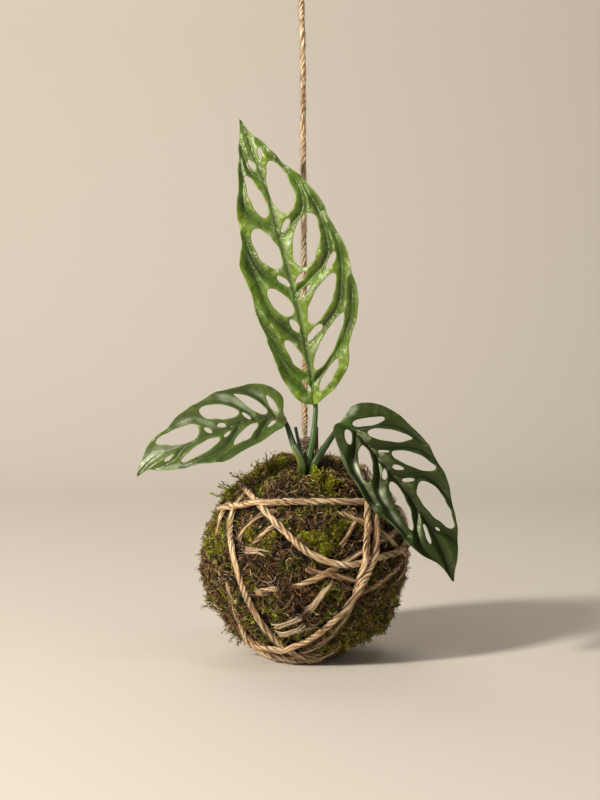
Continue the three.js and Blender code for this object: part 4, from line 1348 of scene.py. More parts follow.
LEAVES = (
    Leaf(
        "leaf_top", "leaf_bright", (5.1, -15, 137.8), (-34.5, -6, 289.3), (-0.2, -1, 0.15), 8, 0.2,
        midrib=((0, 0), (10, 1.8), (27, 3.9), (50, 5.6), (77, 5.8), (96, 5.8), (111, 5.8),
                (125, 4.7), (137, 2.8), (150, 1.4)),
        plus=((1, 4), (6, 14), (17, 25), (25.5, 27), (35, 33), (46, 38.5), (61, 39.5), (77, 39),
              (92.5, 34.5), (102, 33), (117.5, 25.5), (126.5, 18), (138.5, 11), (151, 2.5)),
        minus=((1.5, -4), (6, -8), (13, -11), (30, -13.5), (46, -15), (55, -16.5), (64, -15.5),
               (80, -17.5), (94, -13.5), (110, -12), (122, -8.5), (141, -4), (150, -1.5)),
        holes=((135.5, 6.5, 6.5, 2.5, 5, 0), (131, 0.7, 7, 2.5, -20, 0),
               (115.5, 12.5, 29.5, 13, -7, -0.2), (114, -1, 25, 7, -13, -0.3),
               (95, 10.5, 8, 3, 45, 0), (84.5, 19.5, 29, 14.5, 23, 0),
               (85.5, -2, 24.5, 11, -19, 0), (70.5, 29.5, 11, 3.5, 41, 0),
               (67, 2.2, 8.5, 3, -35, 0), (66.5, 11.5, 8, 3, 60, 0), (59, 12, 9, 3, 56, 0),
               (53, 20, 29.5, 10, 42, -0.2), (57, -2.5, 19, 8.5, -28, -0.2),
               (43, 1.6, 8, 3.5, -19, 0), (37, 11, 11.5, 3.5, 57, 0),
               (30.5, 17.5, 34, 7.5, 43, -0.2), (27.5, -2, 19, 6, -17, 0),
               (11, -1.2, 7, 2.5, -17, 0), (13.5, 12.5, 20, 5, 46, 0)),
        veins=(((95, 5.5), (99, -1), (104, -5.2), (109, -7.7), (116, -7.5), (127, -5.4), (134, -4.6)),
               ((57, 5.4), (63, 1.9), (69, -3.5), (74, -7.5), (80, -10), (89, -11.4)),
               ((34, 4), (39, -0.1), (45, -4), (51, -8.1), (59, -9.8), (69, -10.9), (78, -12.1)),
               ((14, 2), (18, -2.9), (24, -6.7), (30, -9.2), (39, -11.6), (46, -13.9), (54, -15.2)),
               ((5, 0.8), (11, -4.1), (17, -7.6), (23, -9.1), (30, -11.2)),
               ((90, 6), (95, 14.2), (100, 21), (105, 23.2), (111, 23.2), (117, 22), (121, 20.6),
                (129, 16.4), (137, 11.5)),
               ((59, 6), (63, 13.6), (66, 19), (69, 24.2), (76, 29.8), (82, 30.6), (90, 30.8),
                (98, 30), (105, 28.4), (111, 26.6)),
               ((33, 5), (36, 13.4), (41, 20.1), (45, 25.6), (52, 30), (58, 32), (66, 34.4),
                (76, 36), (83, 35.8), (91, 33.6)),
               ((11, 2.5), (16, 10.3), (22, 17), (28, 23.8), (34, 28.4), (39, 31.8), (46, 34.8),
                (52, 36.5)),
               ((121, 4.4), (127, -0.8), (135, -2.4), (140, -2.8))),
        # The top leaf's swells get blotches of painted sheen, silvery highlights laid into the colour.
        puff=1.7, pebbles=0.4, ruffle=0.75, blotch_sheen=0.75, finish=TOP_FINISH,
        stalk=((0.2, 2.6), (4.5, -18.2, 119.5), (-1.6, 0, -1)),
    ),
    Leaf(
        "leaf_left", "leaf_dark", (-9.3, -20, 130.3), (-87.2, -34, 101.1), (-0.1, -1, 0.45), 8, 0.16,
        midrib=((0, 0), (6.5, 3.4), (16.4, 5), (24.8, 5.4), (33.7, 4.9), (45, 5.2), (55, 5.8),
                (63, 5.6), (71, 5.2), (77, 4.0)),
        plus=((0.5, 3.5), (-1, 7), (-2.5, 12), (-0.5, 17), (4, 21), (9, 23.2), (18, 24.2),
              (28, 25), (37, 24), (46, 22), (55, 20), (62, 16.5), (70.5, 14.3), (77, 9.5), (83, 3)),
        minus=((1.5, -2.5), (4, -4.7), (9, -6.2), (18, -9), (28.5, -10.5), (39, -13), (46, -11.5),
               (54, -8.5), (62, -7.3), (68, -5.5), (73, -2), (78, 0.5), (82, 0.8)),
        holes=((4.5, 10.5, 10, 3, 79, 0), (15, 14, 20, 5.5, 50, -0.4), (19.8, 8, 5, 2.3, 55, 0),
               (32.8, 14.5, 21, 8.5, 23, 0), (34, 7.6, 4.5, 2, 22, 0), (41.5, 7.2, 4.5, 2, 43, 0),
               (57.5, 10.5, 24, 8.5, 7, -0.4), (9, -0.5, 6, 1.8, -24, 0),
               (24, -2, 18, 5.2, -25, 0), (33, 1.4, 5, 1.8, -27, 0),
               (49, -1.5, 23, 5.5, -10, -0.2), (65.5, 1.7, 6.5, 1.6, -8, 0)),
        veins=(((5, 3.5), (7, 9), (9.5, 16.5), (15, 21), (21, 22.6)),
               ((16, 5), (19, 11.4), (24, 17.3), (29, 20.6), (35, 22)),
               ((30, 5), (37, 9), (43, 14.5), (48, 17), (55, 17)),
               ((53, 5.6), (60, 5.4), (67, 6.9), (72, 8.6), (77, 7)),
               ((8, 3.8), (14, -1.4), (19, -6.4), (26, -8.8), (34, -10.2)),
               ((24, 5.4), (30.5, -1.0), (37, -5.4), (45, -7.2), (53, -6.9)),
               ((50, 5.4), (58, 2.9), (63, -0.4), (69, -1.2))),
        puff=1.8, pebbles=0.14, ruffle=0.2, finish=LEFT_FINISH,
        stalk=((-3.3, -1.3), (-6, -22.6, 117.6), (1.5, -0.6, -2.3)),
        # Patches of painted sheen: silvery highlights laid into the colour.
        sheen=((27.2, 21.2, 8.5, 4.2, 35, 0.9), (20.8, 15.7, 14, 3.4, 49, 0.8),
               (50.7, 16.6, 11, 3.4, 7, 0.7), (41.1, 11.5, 13, 3, 43, 0.8),
               (72.5, 7.1, 14, 6, -3, 0.9), (60.8, 6.6, 11, 2.7, 1, 0.7),
               (65.3, -4.3, 20, 2.4, 18, 0.7), (9.5, 17.6, 9, 3.4, 46, 0.45),
               (35.6, 23, 9, 2, 7, 0.3)),
    ),
    Leaf(
        "leaf_right", "leaf_dark", (18.9, -22, 129.1), (76.5, -47, 48.5), (0.112, -0.901, 0.404), 5,
        0.15,
        midrib=((0, 0), (6, -2.9), (16.6, -3.8), (25.8, -4.2), (36, -4.8), (46, -5.4), (56.5, -6),
                (67, -5.8), (77, -5.2), (86.6, -4)),
        plus=((0, 4), (3, 7.5), (9.5, 9.8), (16.5, 12.5), (26, 15), (35, 14.8), (42, 16), (54, 15),
              (60, 12), (66, 10.6), (74, 10), (82, 7.3), (90, 2), (97, 0.5)),
        minus=((-1.5, -4), (-3.5, -9), (-2.5, -14.5), (3.5, -21.5), (13.5, -26.5), (23.5, -28.5),
               (32, -30), (46, -28.8), (59, -26.5), (71, -21.5), (83, -16), (93.5, -8.5),
               (99, -3.2)),
        holes=((8, -12, 17, 4, -64, -0.2), (21, -16.5, 24, 6.5, -46, -0.3),
               (26.5, -8.8, 5.5, 2, -56, 0), (39, -18.5, 24, 7.5, -34, 0),
               (38, -9.8, 6, 2, -42, 0), (46, -10.2, 6, 2, -53, 0),
               (65, -14.8, 29.5, 11, -1, -0.3), (75.5, -8.6, 3, 1.4, -27, 0),
               (9.5, 2, 9, 4, 27, 0), (26.5, 3.4, 21, 7.2, 29, 0), (36.5, -2, 7, 2.5, 38, 0.3),
               (55.5, 0.8, 28, 6.8, 12, -0.2), (75, -1.9, 11, 2.4, 17, 0)),
        veins=(((6, -3), (10, -9.6), (14, -18.5), (20, -24.5), (28, -27.3)),
               ((19, -4.2), (25, -11.8), (29, -18.4), (35, -25.2), (43, -28.2)),
               ((38, -5), (44, -12), (48, -18.4), (55, -21.6), (64, -22.6)),
               ((67, -6), (74, -7.0), (80, -11), (84, -13.2)),
               ((10, -3), (16, 1.8), (23, 8.4), (33, 11), (42, 12)),
               ((27, -4.2), (36, 0.9), (43, 6.5), (53, 7.6), (64, 8.1)),
               ((55, -6), (63, -4.4), (70, 1.2), (79, 4), (87, 3))),
        puff=1.9, pebbles=0.1, ruffle=0.15, finish=RIGHT_FINISH,
        stalk=((3.3, -1.4), (11.9, -22.6, 117.6), (1, -1.2, -2.3)),
        # Patches of painted sheen: silvery highlights laid into the colour.
        sheen=((27.8, 9.4, 10.9, 3, 12, 1), (-1.5, -8, 8, 4.1, 78, 0.8),
               (46.6, 6.8, 10, 2.8, 5, 0.7), (58.7, 7.8, 9.5, 3, 0, 0.5),
               (48.7, 14, 5.4, 2.6, 0, 0.6), (18.4, 12.1, 17, 1, 13, 0.5),
               (32.1, 14.2, 11, 1, 1, 0.5), (61.8, 11.1, 15, 0.9, -15, 0.35)),
    ),
)


# ---- stalks ----
@dataclass
class Crown:
    """The flat top of the rhizome, where all the stalks stand."""

    offset: tuple = (1.8, -22.0, 49.7)
    radius: float = 51.5

    def __post_init__(self) -> None:
        """Works out the crown's axes."""
        self.axis = unit(np.array(self.offset))
        self.side = unit(np.array([1.0, 0.0, 0.0]) - self.axis[0] * self.axis)
        self.back = np.cross(self.axis, self.side)

    def point(self, side: float, back: float, up: float = 0.0) -> Array:
        """A point over the crown, `side` mm to the right, `back` mm to the rear and `up` mm out."""
        return BALL_CENTRE + self.axis * (self.radius + up) + side * self.side + back * self.back

    def foot(self, side: float, back: float) -> list[Array]:
        """The two lowest stops of a stalk: sunk in the crown, and straight over it."""
        return [self.point(side, back, -1.0), self.point(side, back, 7.0)]


@dataclass
class Stalk:
    """A stalk: a tapering tube with a groove in front and, lower down, a paler winged sheath."""

    name: str
    stops: list
    foot_radius: float
    top_radius: float
    sheath_end: float
    finish: StalkFinish
    slot: str = "stem"
    groove: float = 0.16
    sides: int = 24
    sheath_side: float = 0.5

    def build(self) -> None:
        """Makes the stalk: its radius is cut back along the groove and swells at the wings."""
        path = through(self.stops, 0.8)
        _, side, normal = framed(path, FRONT)
        u = np.linspace(0.0, 1.0, len(path))[:, None]
        angle = corner_angles(self.sides)[None]
        off = np.abs(np.angle(np.exp(1j * (angle - 0.5 * np.pi))))
        inside = 1.0 - smoothstep(self.sheath_end - 0.05, self.sheath_end + 0.01, u)
        radius = mix(self.foot_radius, self.top_radius, smoothstep(0.0, 0.9, u))
        groove = self.groove * bell(off, 0.35)
        wings = 0.22 * inside * bell(off - 0.75, 0.25)
        radius = radius * (1.0 - groove + wings + 0.1 * inside)
        skin = tubes(path[None], side[None], normal[None], radius[None], self.sides)
        flank = 0.5 + 0.5 * np.cos(angle - self.sheath_side)
        pale = 0.85 * inside * flank**3 * smoothstep(0.0, 0.3, u)
        pale = np.concatenate([np.broadcast_to(pale, radius.shape).ravel(), [0.0, 0.0]])
        skin.marks = {"pale": pale}
        make(f"{self.name}_stalk", skin, self.finish.material(), (self.name,))


def stalks(crown: Crown) -> list[Stalk]:
    """The stalks of the plant, each from the crown to where it ends."""
    green = StalkFinish("top stalk", "42601f", "2c4414", "6f8f3a")
    deep = StalkFinish("side stalk", "304818", "1f310d", "626c22")
    result = []
    # Each one: name, its share of sheath, finish, radius at its foot and at its top.
    plans = (("petiole_top", 0.1, green, 2.1, 1.2), ("petiole_left", 0.46, deep, 2.2, 1.2),
             ("petiole_right", 0.1, deep, 2.3, 1.2))
    for leaf, (name, sheath, finish, foot, top) in zip(LEAVES, plans):
        (side, back), middle, _ = leaf.stalk
        knee = leaf.knee()
        turn = unit(4.0 * unit(knee - np.array(middle)) + leaf.along)
        under = [leaf.behind(s, float(leaf.rib(s)), n) for s, n in ((4.5, -1.3), (9.0, -0.7))]
        stops = [*crown.foot(side, back), middle, knee - 1.6 * turn, knee, *under]
        result.append(Stalk(name, stops, foot, top, sheath, finish))
    shoot = [*crown.foot(-3.6, 3.9), (-4.8, -14.0, 125.6)]
    dark = StalkFinish("young shoot", "1f3314", "131f0c", "4f6b2b")
    result.append(Stalk("young_shoot", shoot, 1.35, 0.85, 0.0, dark, groove=0.1, sides=16,
                        sheath_side=0.2))
    stub = [*crown.foot(4.4, 3.1), (6.5, -12.2, 125.6)]
    dry = StalkFinish("dry stub", "7b4f30", "4a2a18", "8a6a44", 0.8)
    result.append(Stalk("old_petiole_stub", stub, 1.35, 0.8, 0.0, dry, "dry_stem", groove=0.25,
                        sides=16))
    return result


# ---- moss ----
@dataclass(frozen=True)
class ShootForm:
    """How a moss shoot carries its leaflets, in mm and degrees.

    `spread` is a leaflet's angle off the stem, `around` the turn to the next one, `raised` its
    lift, `stem` the stem's radius and `hook` the share of a leaflet's length that its tip bends.
    """

    leaflets: int
    blade: float
    width: float
    spread: float
    around: float
    raised: float
    stem: float
    hook: float


class Habit(Enum):
    """The kinds of shoot in the carpet."""

    FEATHER = ShootForm(9, 1.2, 0.8, 52.0, 180.0, 20.0, 0.15, -0.2)
    BRAID = ShootForm(9, 0.8, 0.6, 42.0, 128.0, 40.0, 0.18, -0.1)
    STAR = ShootForm(10, 1.3, 0.45, 58.0, 137.5, 0.0, 0.15, 0.3)
    SPRIG = ShootForm(13, 2.3, 1.2, 58.0, 137.5, 0.0, 0.3, 0.1)


def grow(
    form: ShootForm, root: Array, start: Array, bend: Array, up: Array,
    length: Array, colour: Array, rng: Draws,
) -> Skin:
    """Grows a shoot at each root.

    A stem is root + length (u start + u^2/2 bend). Its leaflets stand off it at the form's
    spread, each a thin closed blade of four corners: root, two edges and tip.

    Args:
        form: how the shoots carry their leaflets.
        root: where each shoot stands, (number, 3).
        start: the unit direction in which it sets out.
        bend: how much its direction has changed at the tip.
        up: the unit vector away from the ball.
        length: the length of each stem.
        colour: the linear colour of each shoot.
        rng: the source of random draws.

    Returns:
        The shoots as one skin with their tints.
    """
    number = len(root)

    def stem_at(u: Array) -> tuple[Array, ...]:
        """The stem's middle, direction, side and normal at each share u of its length."""
        u = u[None, :, None]
        way = u * start[:, None] + 0.5 * u**2 * bend[:, None]
        middle = root[:, None] + length[:, None, None] * way
        tangent = unit(start[:, None] + u * bend[:, None])
        normal = square_to(tangent, up[:, None], 1e-4)
        return middle, tangent, np.cross(normal, tangent), normal

    rings = np.linspace(0.0, 1.0, 3)
    line, _, side, normal = stem_at(rings)
    thick = form.stem * (1.0 - 0.6 * rings)[None, :, None] * np.ones((number, 1, 1))
    stem = tubes(line, side, normal, thick, 3)
    shade = np.concatenate([np.repeat(0.45 + 0.35 * rings, 3), [0.45, 0.8]])
    stem.tint = (colour[:, None] * shade[None, :, None]).reshape(-1, 3)
    stem.uv = None

    u = np.linspace(0.16, 1.0, form.leaflets)
    foot, tangent, side, normal = stem_at(u)
    turn = np.radians(form.around) * np.arange(form.leaflets)[None]
    turn = turn + rng.uniform(-0.35, 0.35, (number, 1))
    turn = turn + rng.uniform(-0.3, 0.3, turn.shape)
    radial = np.cos(turn)[..., None] * side + np.sin(turn)[..., None] * normal
    radial = unit(radial + np.sin(np.radians(form.raised)) * normal)
    spread = np.radians(form.spread) * (1.15 - 0.55 * u)[None] * rng.uniform(0.8, 1.25, turn.shape)
    ahead = np.cos(spread)[..., None] * tangent + np.sin(spread)[..., None] * radial
    wide = unit(np.cross(radial, tangent))
    size = (1.1 - 0.5 * u)[None] * rng.uniform(0.85, 1.15, turn.shape)
    size = size * (np.sqrt(length / length.mean()) * rng.uniform(0.8, 1.2, number))[:, None]
    blade, width = (form.blade * size)[..., None], (form.width * size)[..., None]
    foot = foot + form.stem * 0.4 * radial
    middle = foot + 0.42 * blade * ahead
    edges = (middle + half * width * wide + 0.22 * width * radial for half in (0.5, -0.5))
    corners = np.stack([foot, *edges, foot + blade * ahead + form.hook * blade * radial], axis=2)
    quad = np.array([[0, 2, 1], [3, 1, 2], [0, 3, 2], [0, 1, 3]])
    count = number * form.leaflets
    faces = (quad[None] + 4 * np.arange(count)[:, None, None]).reshape(-1, 3)
    shade = (0.35 + 0.9 * u)[None, :, None] * np.array([0.6, 1.0, 1.0, 1.45])[None, None]
    shade = shade * rng.uniform(0.8, 1.2, (number, form.leaflets, 1))
    tint = (colour[:, None, None] * shade[..., None]).reshape(-1, 3)
    return joined([stem, Skin(corners.reshape(-1, 3), faces, tint=tint)])


def kept(plan: dict, keep: Array) -> dict:
    """Returns the plan of those of its shoots that are kept."""
    return {key: x[keep] if isinstance(x, Array) else x for key, x in plan.items()}


def palette(codes: tuple, pick: Array) -> Array:
    """Returns colours drawn from the codes, by whole numbers that say which."""
    return np.array([tone(code) for code in codes])[pick]


def any_of(codes: tuple, count: int, rng: Draws) -> Array:
    """Returns so many colours, each drawn from the codes at random."""
    return palette(codes, rng.integers(0, len(codes), count))


class Quarter(Enum):
    """The four quarters of the ball, by the direction in degrees that each one faces."""

    FRONT = 0
    RIGHT = 90
    BACK = 180
    LEFT = 270


@dataclass
class MossBall:
    """The moss round the ball: a matted bed with shoots, cushions, threads and sprigs on it."""

    strands: Array
    crown: Crown
    seed: int = 7
    bed_radius: float = 54.2
    curls: int = 6200
    hairs: int = 2100
    stars_on_dome: int = 200
    cushion_mound: float = 1.6
    cushion_share: float = 0.38
    straw_share: float = 0.13
    bare_crown: float = 5.2
    bed_rings: int = 150
    bed_sides: int = 240
    thread_points: int = 7
    tuft: int = 5
    loose_sprigs: int = 60
    # Each kind of shoot: name, habit, how many, shortest and longest stem, least and most rise in
    # degrees, how much greener than the patchwork, seed.
    kinds: tuple = (
        ("moss_feathers", Habit.FEATHER, 8800, (1.8, 4.2), (5.0, 45.0), 0.25, 1),
        ("moss_braids", Habit.BRAID, 6700, (2.0, 4.6), (0.0, 35.0), -0.25, 2),
        ("moss_cushions", Habit.STAR, 3200, (1.4, 3.2), (60.0, 90.0), 0.9, 3),
    )
    # Where a patch lies and how wide it is: (around, up, degrees across, how green, how bright).
    patches: tuple = (
        (4, 18, 9, 1.2, 0.6), (11, 13, 8, 1.2, 0.7), (19, 21, 8, 1.2, 0.5), (-2, 18, 8, 1, 0.2),
        (-2, 32, 10, 0.7, 0.1), (17, 30, 12, 0.7, 0.5), (4, 26, 8, -1.2, -0.3),
        (-8, 10, 8, -1, -0.4), (-8, 17, 8, -0.8, -0.3), (-18, 4, 9, -0.7, -0.2),
        (-11, 3, 8, 0.9, -0.8), (15, 56, 14, 0.8, -0.2), (21, 46, 12, 0.7, 0.1),
        (-66, 59, 20, 0.8, -0.1), (-63, 75, 20, 0.7, -0.2), (-60, 11, 16, 1.1, 0.9),
        (-67, 19, 20, 1, 0.8), (-64, -1, 14, -0.5, 0.4), (-53, -5, 12, -0.6, 0.1),
        (48, -19, 22, 0.7, -0.2), (45, -37, 22, 0.8, 0), (37, -47, 20, 0.8, 0.2),
        (-2, -12, 18, -0.7, -0.4), (-20, -5, 14, -0.7, -0.3), (-40, -27, 18, 0.1, 0.1),
        (-9, -42, 16, 0.9, 0.2), (27, 16, 10, -0.8, -0.2), (40, -23, 8, -0.6, 0),
        (-19, 44, 14, -0.7, -0.1), (-3, 45, 10, -0.9, 0), (32, 45, 16, -0.5, -0.5),
        (120, 20, 40, 0.5, 0.3), (170, -20, 45, 0.5, 0.2), (-130, 0, 40, 0.6, 0.4),
        (80, -45, 34, 0.6, 0.1),
    )
    # Where the bed rises or falls: (around, up, degrees across, mm).
    mounds: tuple = (
        (4, 18, 3.6, 2.6), (10, 12, 4.4, 3), (18, 21, 3.8, 2.4), (-2, 19, 3.2, 2),
        (11, 20, 3.2, 2.2), (15, 15, 3, 2.2), (7, 23, 2.6, 1.8), (-72, 47, 36, -4.2),
        (-11, 2, 4, 1.5), (-33, 20, 4, 1.5),
    )
    # Sprigs that stand out: (around, up, lean to the right, lean upwards, length, which green).
    tall_sprigs: tuple = (
        (-57, 55, -0.1, 1, 15, 2), (-60, 52, -0.5, 0.9, 12, 2), (-50, 60, 0.2, 1, 14, 2),
        (-47, 62, -0.3, 1, 11, 2), (-64, 50, -0.8, 0.6, 10, 2), (-59, 38, -1, 0.5, 15, 3),
        (-62, 42, -0.7, 0.8, 12, 3), (-40, 66, 0.1, 1, 8, 2), (-33, 70, -0.2, 1, 7, 3),
        (-25, 72, 0.2, 1, 5, 2), (15, 56, 0, 1, 9, 2), (13, 53, -0.2, 0.9, 6, 2),
        (21, 48, 0.1, 1, 8, 2), (18, 51, 0.2, 0.8, 6, 3), (26, 50, 0, 1, 6, 2),
        (10, 58, -0.1, 1, 6, 3), (-82, -26, -1, -0.1, 8, 2), (-78, -24, -1, 0.2, 6, 2),
        (-76, -43, -0.6, -0.8, 7, 2), (-73, -50, -0.3, -1, 6, 1), (-85, 12, -1, 0.3, 5, 3),
        (-80, 3, -1, 0.2, 5, 2), (80, -42, 0.6, -0.5, 5, 1), (76, -50, 0.4, -0.8, 5, 2),
    )
    greens: tuple = ("343c0a", "60600e", "8a8018", "9aa01a", "aabc26")
    browns: tuple = ("523820", "745030", "4c3a34", "9a7040", "2e2012")
    straws: tuple = ("a8845c", "d2bb90", "7d5c3c")

    def nearest(self, out: Array) -> tuple[Array, Array]:
        """The distance along the ball to the nearest strand, and how far out that strand lies."""
        rel = self.strands - BALL_CENTRE
        reach = np.linalg.norm(rel, axis=1)
        axis = (rel / reach[:, None]).astype(np.float32)
        gaps, reaches = [], []
        for part in np.array_split(out.astype(np.float32), max(1, len(out) // 4000)):
            cosine = part @ axis.T
            best = cosine.argmax(axis=1)
            gaps.append(np.arccos(np.clip(cosine[np.arange(len(part)), best], -1, 1)) * BALL_RADIUS)
            reaches.append(reach[best])
        return np.concatenate(gaps), np.concatenate(reaches)

    def from_crown(self, out: Array) -> Array:
        """How far along the ball each direction lies from the middle of the stalks' feet."""
        return arc(out, self.crown.axis) * BALL_RADIUS

    def bed_reach(self, out: Array) -> Array:
        """How far out the bed lies: lumps of three sizes, pressed down under the proud strands."""
        at = out * BALL_RADIUS
        lumps = 1.5 * waves(at, 24.0, 11) + 1.1 * waves(at, 9.0, 12) + 0.6 * waves(at, 3.6, 13)
        gap, reach = self.nearest(out)
        proud = smoothstep(self.bed_radius - 1.5, self.bed_radius + 0.5, reach)
        press = 1.0 - proud * (1.0 - smoothstep(1.2, 6.0, gap))
        for around, up, across, height in self.mounds:
            angle = degrees_from(out, around, up) / across
            dome = np.sqrt(np.clip(1.0 - angle**2, 0.0, 1.0)) if height > 0 else bell(angle, 0.6)
            lumps = lumps + height * dome
        hollow = 1.2 * bell(self.from_crown(out), 6.0)
        return mix(np.minimum(reach - 1.2, self.bed_radius), self.bed_radius + lumps, press) - hollow

    def bed(self) -> Skin:
        """The bed: a sphere of rings and columns pushed out to its reach."""
        up = np.linspace(-0.5 * np.pi, 0.5 * np.pi, self.bed_rings + 2)[1:-1]
        centre = np.stack([0 * up, 0 * up, np.sin(up)], axis=1)[None]
        axes = (np.broadcast_to(axis, centre.shape) for axis in ([1.0, 0.0, 0.0], [0.0, 1.0, 0.0]))
        skin = tubes(centre, *axes, np.cos(up)[None, :, None], self.bed_sides)
        out = unit(skin.points)
        skin.points = out * self.bed_reach(out)[:, None] + BALL_CENTRE
        skin.uv = None
        return skin.placed_on_floor()

    def patchwork(self, out: Array) -> tuple[Array, Array]:
        """How green and how bright the moss is: smooth noise, with the patches laid over it."""
        at = out * BALL_RADIUS
        green = 0.45 * waves(at, 30.0, 31) + 0.6 * waves(at, 9.0, 32) - 0.1
        bright = 0.35 * waves(at, 24.0, 33) + 0.5 * waves(at, 7.0, 34)
        for around, up, across, add_green, add_bright in self.patches:
            weight = bell(degrees_from(out, around, up), 0.6 * across)
            green = green + add_green * weight
            bright = bright + add_bright * weight
        return green, bright

    def scatter(self, count: int, rng: Draws) -> Array:
        """Random directions over the ball, thinned out over the strands and the stalks' feet."""
        out = unit(rng.normal(size=(int(count * 1.7), 3)))
        gap, reach = self.nearest(out)
        proud = smoothstep(self.bed_radius - 1.5, self.bed_radius + 1.5, reach)
        clear = gap > mix(-1.0, 2.3, proud) + rng.uniform(0.0, 1.0, len(out))
        return out[clear & (self.from_crown(out) > self.bare_crown)][:count]

    def colours(self, out: Array, leaning: float, rng: Draws) -> Array:
        """A colour for each shoot: green or brown by the patchwork, with a few straws.

        Args:
            out: the shoots' directions.
            leaning: added to the greenness, for a kind that is greener than most.
            rng: the source of random draws.

        Returns:
            Linear colours, one row each.
        """
        green, bright = self.patchwork(out)
        count = len(out)
        level = np.clip(1.3 + 1.5 * bright + rng.normal(0.0, 0.7, count), 0, 4.4).round().astype(int)
        leafy = palette(self.greens, np.where(rng.random(count) < 0.2, 0, level))
        earthy, straw = any_of(self.browns, count, rng), any_of(self.straws, count, rng)
        is_green = green + leaning + rng.normal(0.0, 0.35, count) > 0.0
        colour = np.where(is_green[:, None], leafy, earthy)
        colour = np.where((rng.random(count) < self.straw_share)[:, None], straw, colour)
        return colour * rng.uniform(0.5, 1.6, (count, 1))

    def on_cushion(self, out: Array) -> Array:
        """Which directions lie on a raised cushion."""
        raised = [row for row in self.mounds if row[3] > self.cushion_mound]
        angle = np.degrees(arc(out, directions([row[:2] for row in raised]).T))
        return (angle < np.array([row[2] for row in raised])).any(axis=1)

    def plan(
        self, habit: Habit, out: Array, start: Array, bend: Array, length: Array,
        colour: Array, rng: Draws,
    ) -> dict:
        """What `grow` needs for shoots of one habit that stand in the bed."""
        root = out * (self.bed_reach(out) - ROOT_DEPTH)[:, None] + BALL_CENTRE
        return dict(form=habit.value, root=root, start=start, bend=bend, up=out, length=length,
                    colour=colour, rng=rng)

    def shoots(
        self, habit: Habit, count: int, long: tuple, lean: tuple, leaning: float, seed: int,
    ) -> dict:
        """Chooses where shoots of one habit stand and how they lie: stars on the cushions as well.

        Args:
            habit: their kind.
            count: how many there are.
            long: the shortest and longest stem.
            lean: the least and most degrees by which they rise off the ball at the root.
            leaning: how much greener than the patchwork they are.
            seed: the seed of the draws.

        Returns:
            What `grow` needs.
        """
        rng = np.random.default_rng(self.seed + seed)
        out = self.scatter(count, rng)
        out = out[~self.on_cushion(out)]
        if habit is Habit.STAR:
            domes = np.repeat([row for row in self.mounds if row[3] > 0], self.stars_on_dome, axis=0)
            peaks = directions(domes[:, :2])
            round_it = any_way_along(peaks, rng)
            far = np.sqrt(rng.random((len(peaks), 1)))
            splay = np.concatenate([np.zeros((len(out), 3)), 1.3 * far * round_it])
            wide = np.radians(domes[:, 2])[:, None]
            out = np.concatenate([out, unit(peaks + wide * far * round_it)])
        flow = np.stack([waves(out * BALL_RADIUS, 40.0, 40 + k) for k in range(3)], axis=1)
        flow = unit(flow) + 0.9 * unit(rng.normal(size=out.shape))
        flat = unit(np.cross(out, flow))
        rise = np.radians(rng.uniform(*lean, len(out)))[:, None]
        start = np.cos(rise) * flat + np.sin(rise) * out
        if habit is Habit.STAR:
            start = unit(start + splay)
        curl = rng.normal(0.0, 0.8, (len(out), 1))
        bend = rng.uniform(-0.9, 0.35, (len(out), 1)) * out + curl * np.cross(out, flat)
        bright = np.clip(self.patchwork(out)[1], -0.6, 1.0)
        length = rng.uniform(*long, len(out)) * (1.0 + 0.35 * bright)
        length = np.where(self.on_cushion(out), self.cushion_share * length, length)
        return self.plan(habit, out, start, bend, length, self.colours(out, leaning, rng), rng)

    def quarters(self, out: Array) -> list[tuple[str, Array]]:
        """Names each quarter of the ball and says which directions fall in it."""
        around = np.degrees(np.arctan2(out[:, 0], -out[:, 1])) % 360.0
        off = {side.name.lower(): (around - side.value + 180.0) % 360.0 - 180.0 for side in Quarter}
        inside = {name: np.abs(gap) < 45.0 for name, gap in off.items()}
        return [(name, here) for name, here in inside.items() if here.any()]

    def carpet(self, name: str, material: Material, plan: dict) -> None:
        """Grows the planned shoots, in one piece for each quarter of the ball."""
        for quarter, here in self.quarters(plan["up"]):
            skin = grow(**kept(plan, here)).placed_on_floor()
            make(f"{name}_{quarter}", skin, material, smooth=False)

    def in_green(self, plan: dict) -> dict:
        """The planned shoots that stand in green patches."""
        green, bright = self.patchwork(plan["up"])
        return kept(plan, green + 0.5 * bright > np.random.default_rng(3).normal(0.25, 0.3, len(green)))

    def thread_lines(self, out: Array, hair: Array, rng: Draws) -> Array:
        """Lays the threads over the moss.

        A curl runs round part of an ellipse that lies on the ball, and a hair along a shallow wave.

        Args:
            out: the direction in which each thread lies.
            hair: which of them are hairs.
            rng: the source of random draws.

        Returns:
            The threads' middles, (number, points, 3).
        """
        one_each = (len(out), 1, 1)
        flat = any_way_along(out, rng)[:, None]
        other = np.cross(out, flat[:, 0])[:, None]
        u = np.linspace(-0.5, 0.5, self.thread_points)[None, :, None]
        arm = rng.gamma(4.0, 0.45, one_each) + 0.5
        sweep = rng.uniform(1.2, 4.4, one_each)
        drift = rng.normal(0.0, 2.2, one_each)
        curl_x = arm * np.sin(sweep * u) + drift * u
        curl_y = arm * rng.uniform(0.5, 1.0, one_each) * (np.cos(sweep * u) - 0.6)
        long = rng.gamma(5.0, 1.3, one_each) + 2.0
        wave = 0.12 * long * np.sin(2 * np.pi * u * rng.uniform(0.3, 1.2, one_each) + arm * 9.0)
        x, y = np.where(hair, long * u, curl_x), np.where(hair, wave, curl_y)
        lift = rng.uniform(0.3, 3.0, one_each) * (0.55 + 0.45 * np.cos(4.0 * u + 7.0 * arm))
        way = unit(out[:, None] * BALL_RADIUS + flat * x + other * y)
        reach = self.bed_reach(way.reshape(-1, 3)).reshape(len(out), -1, 1)
        return way * (reach + lift) + BALL_CENTRE

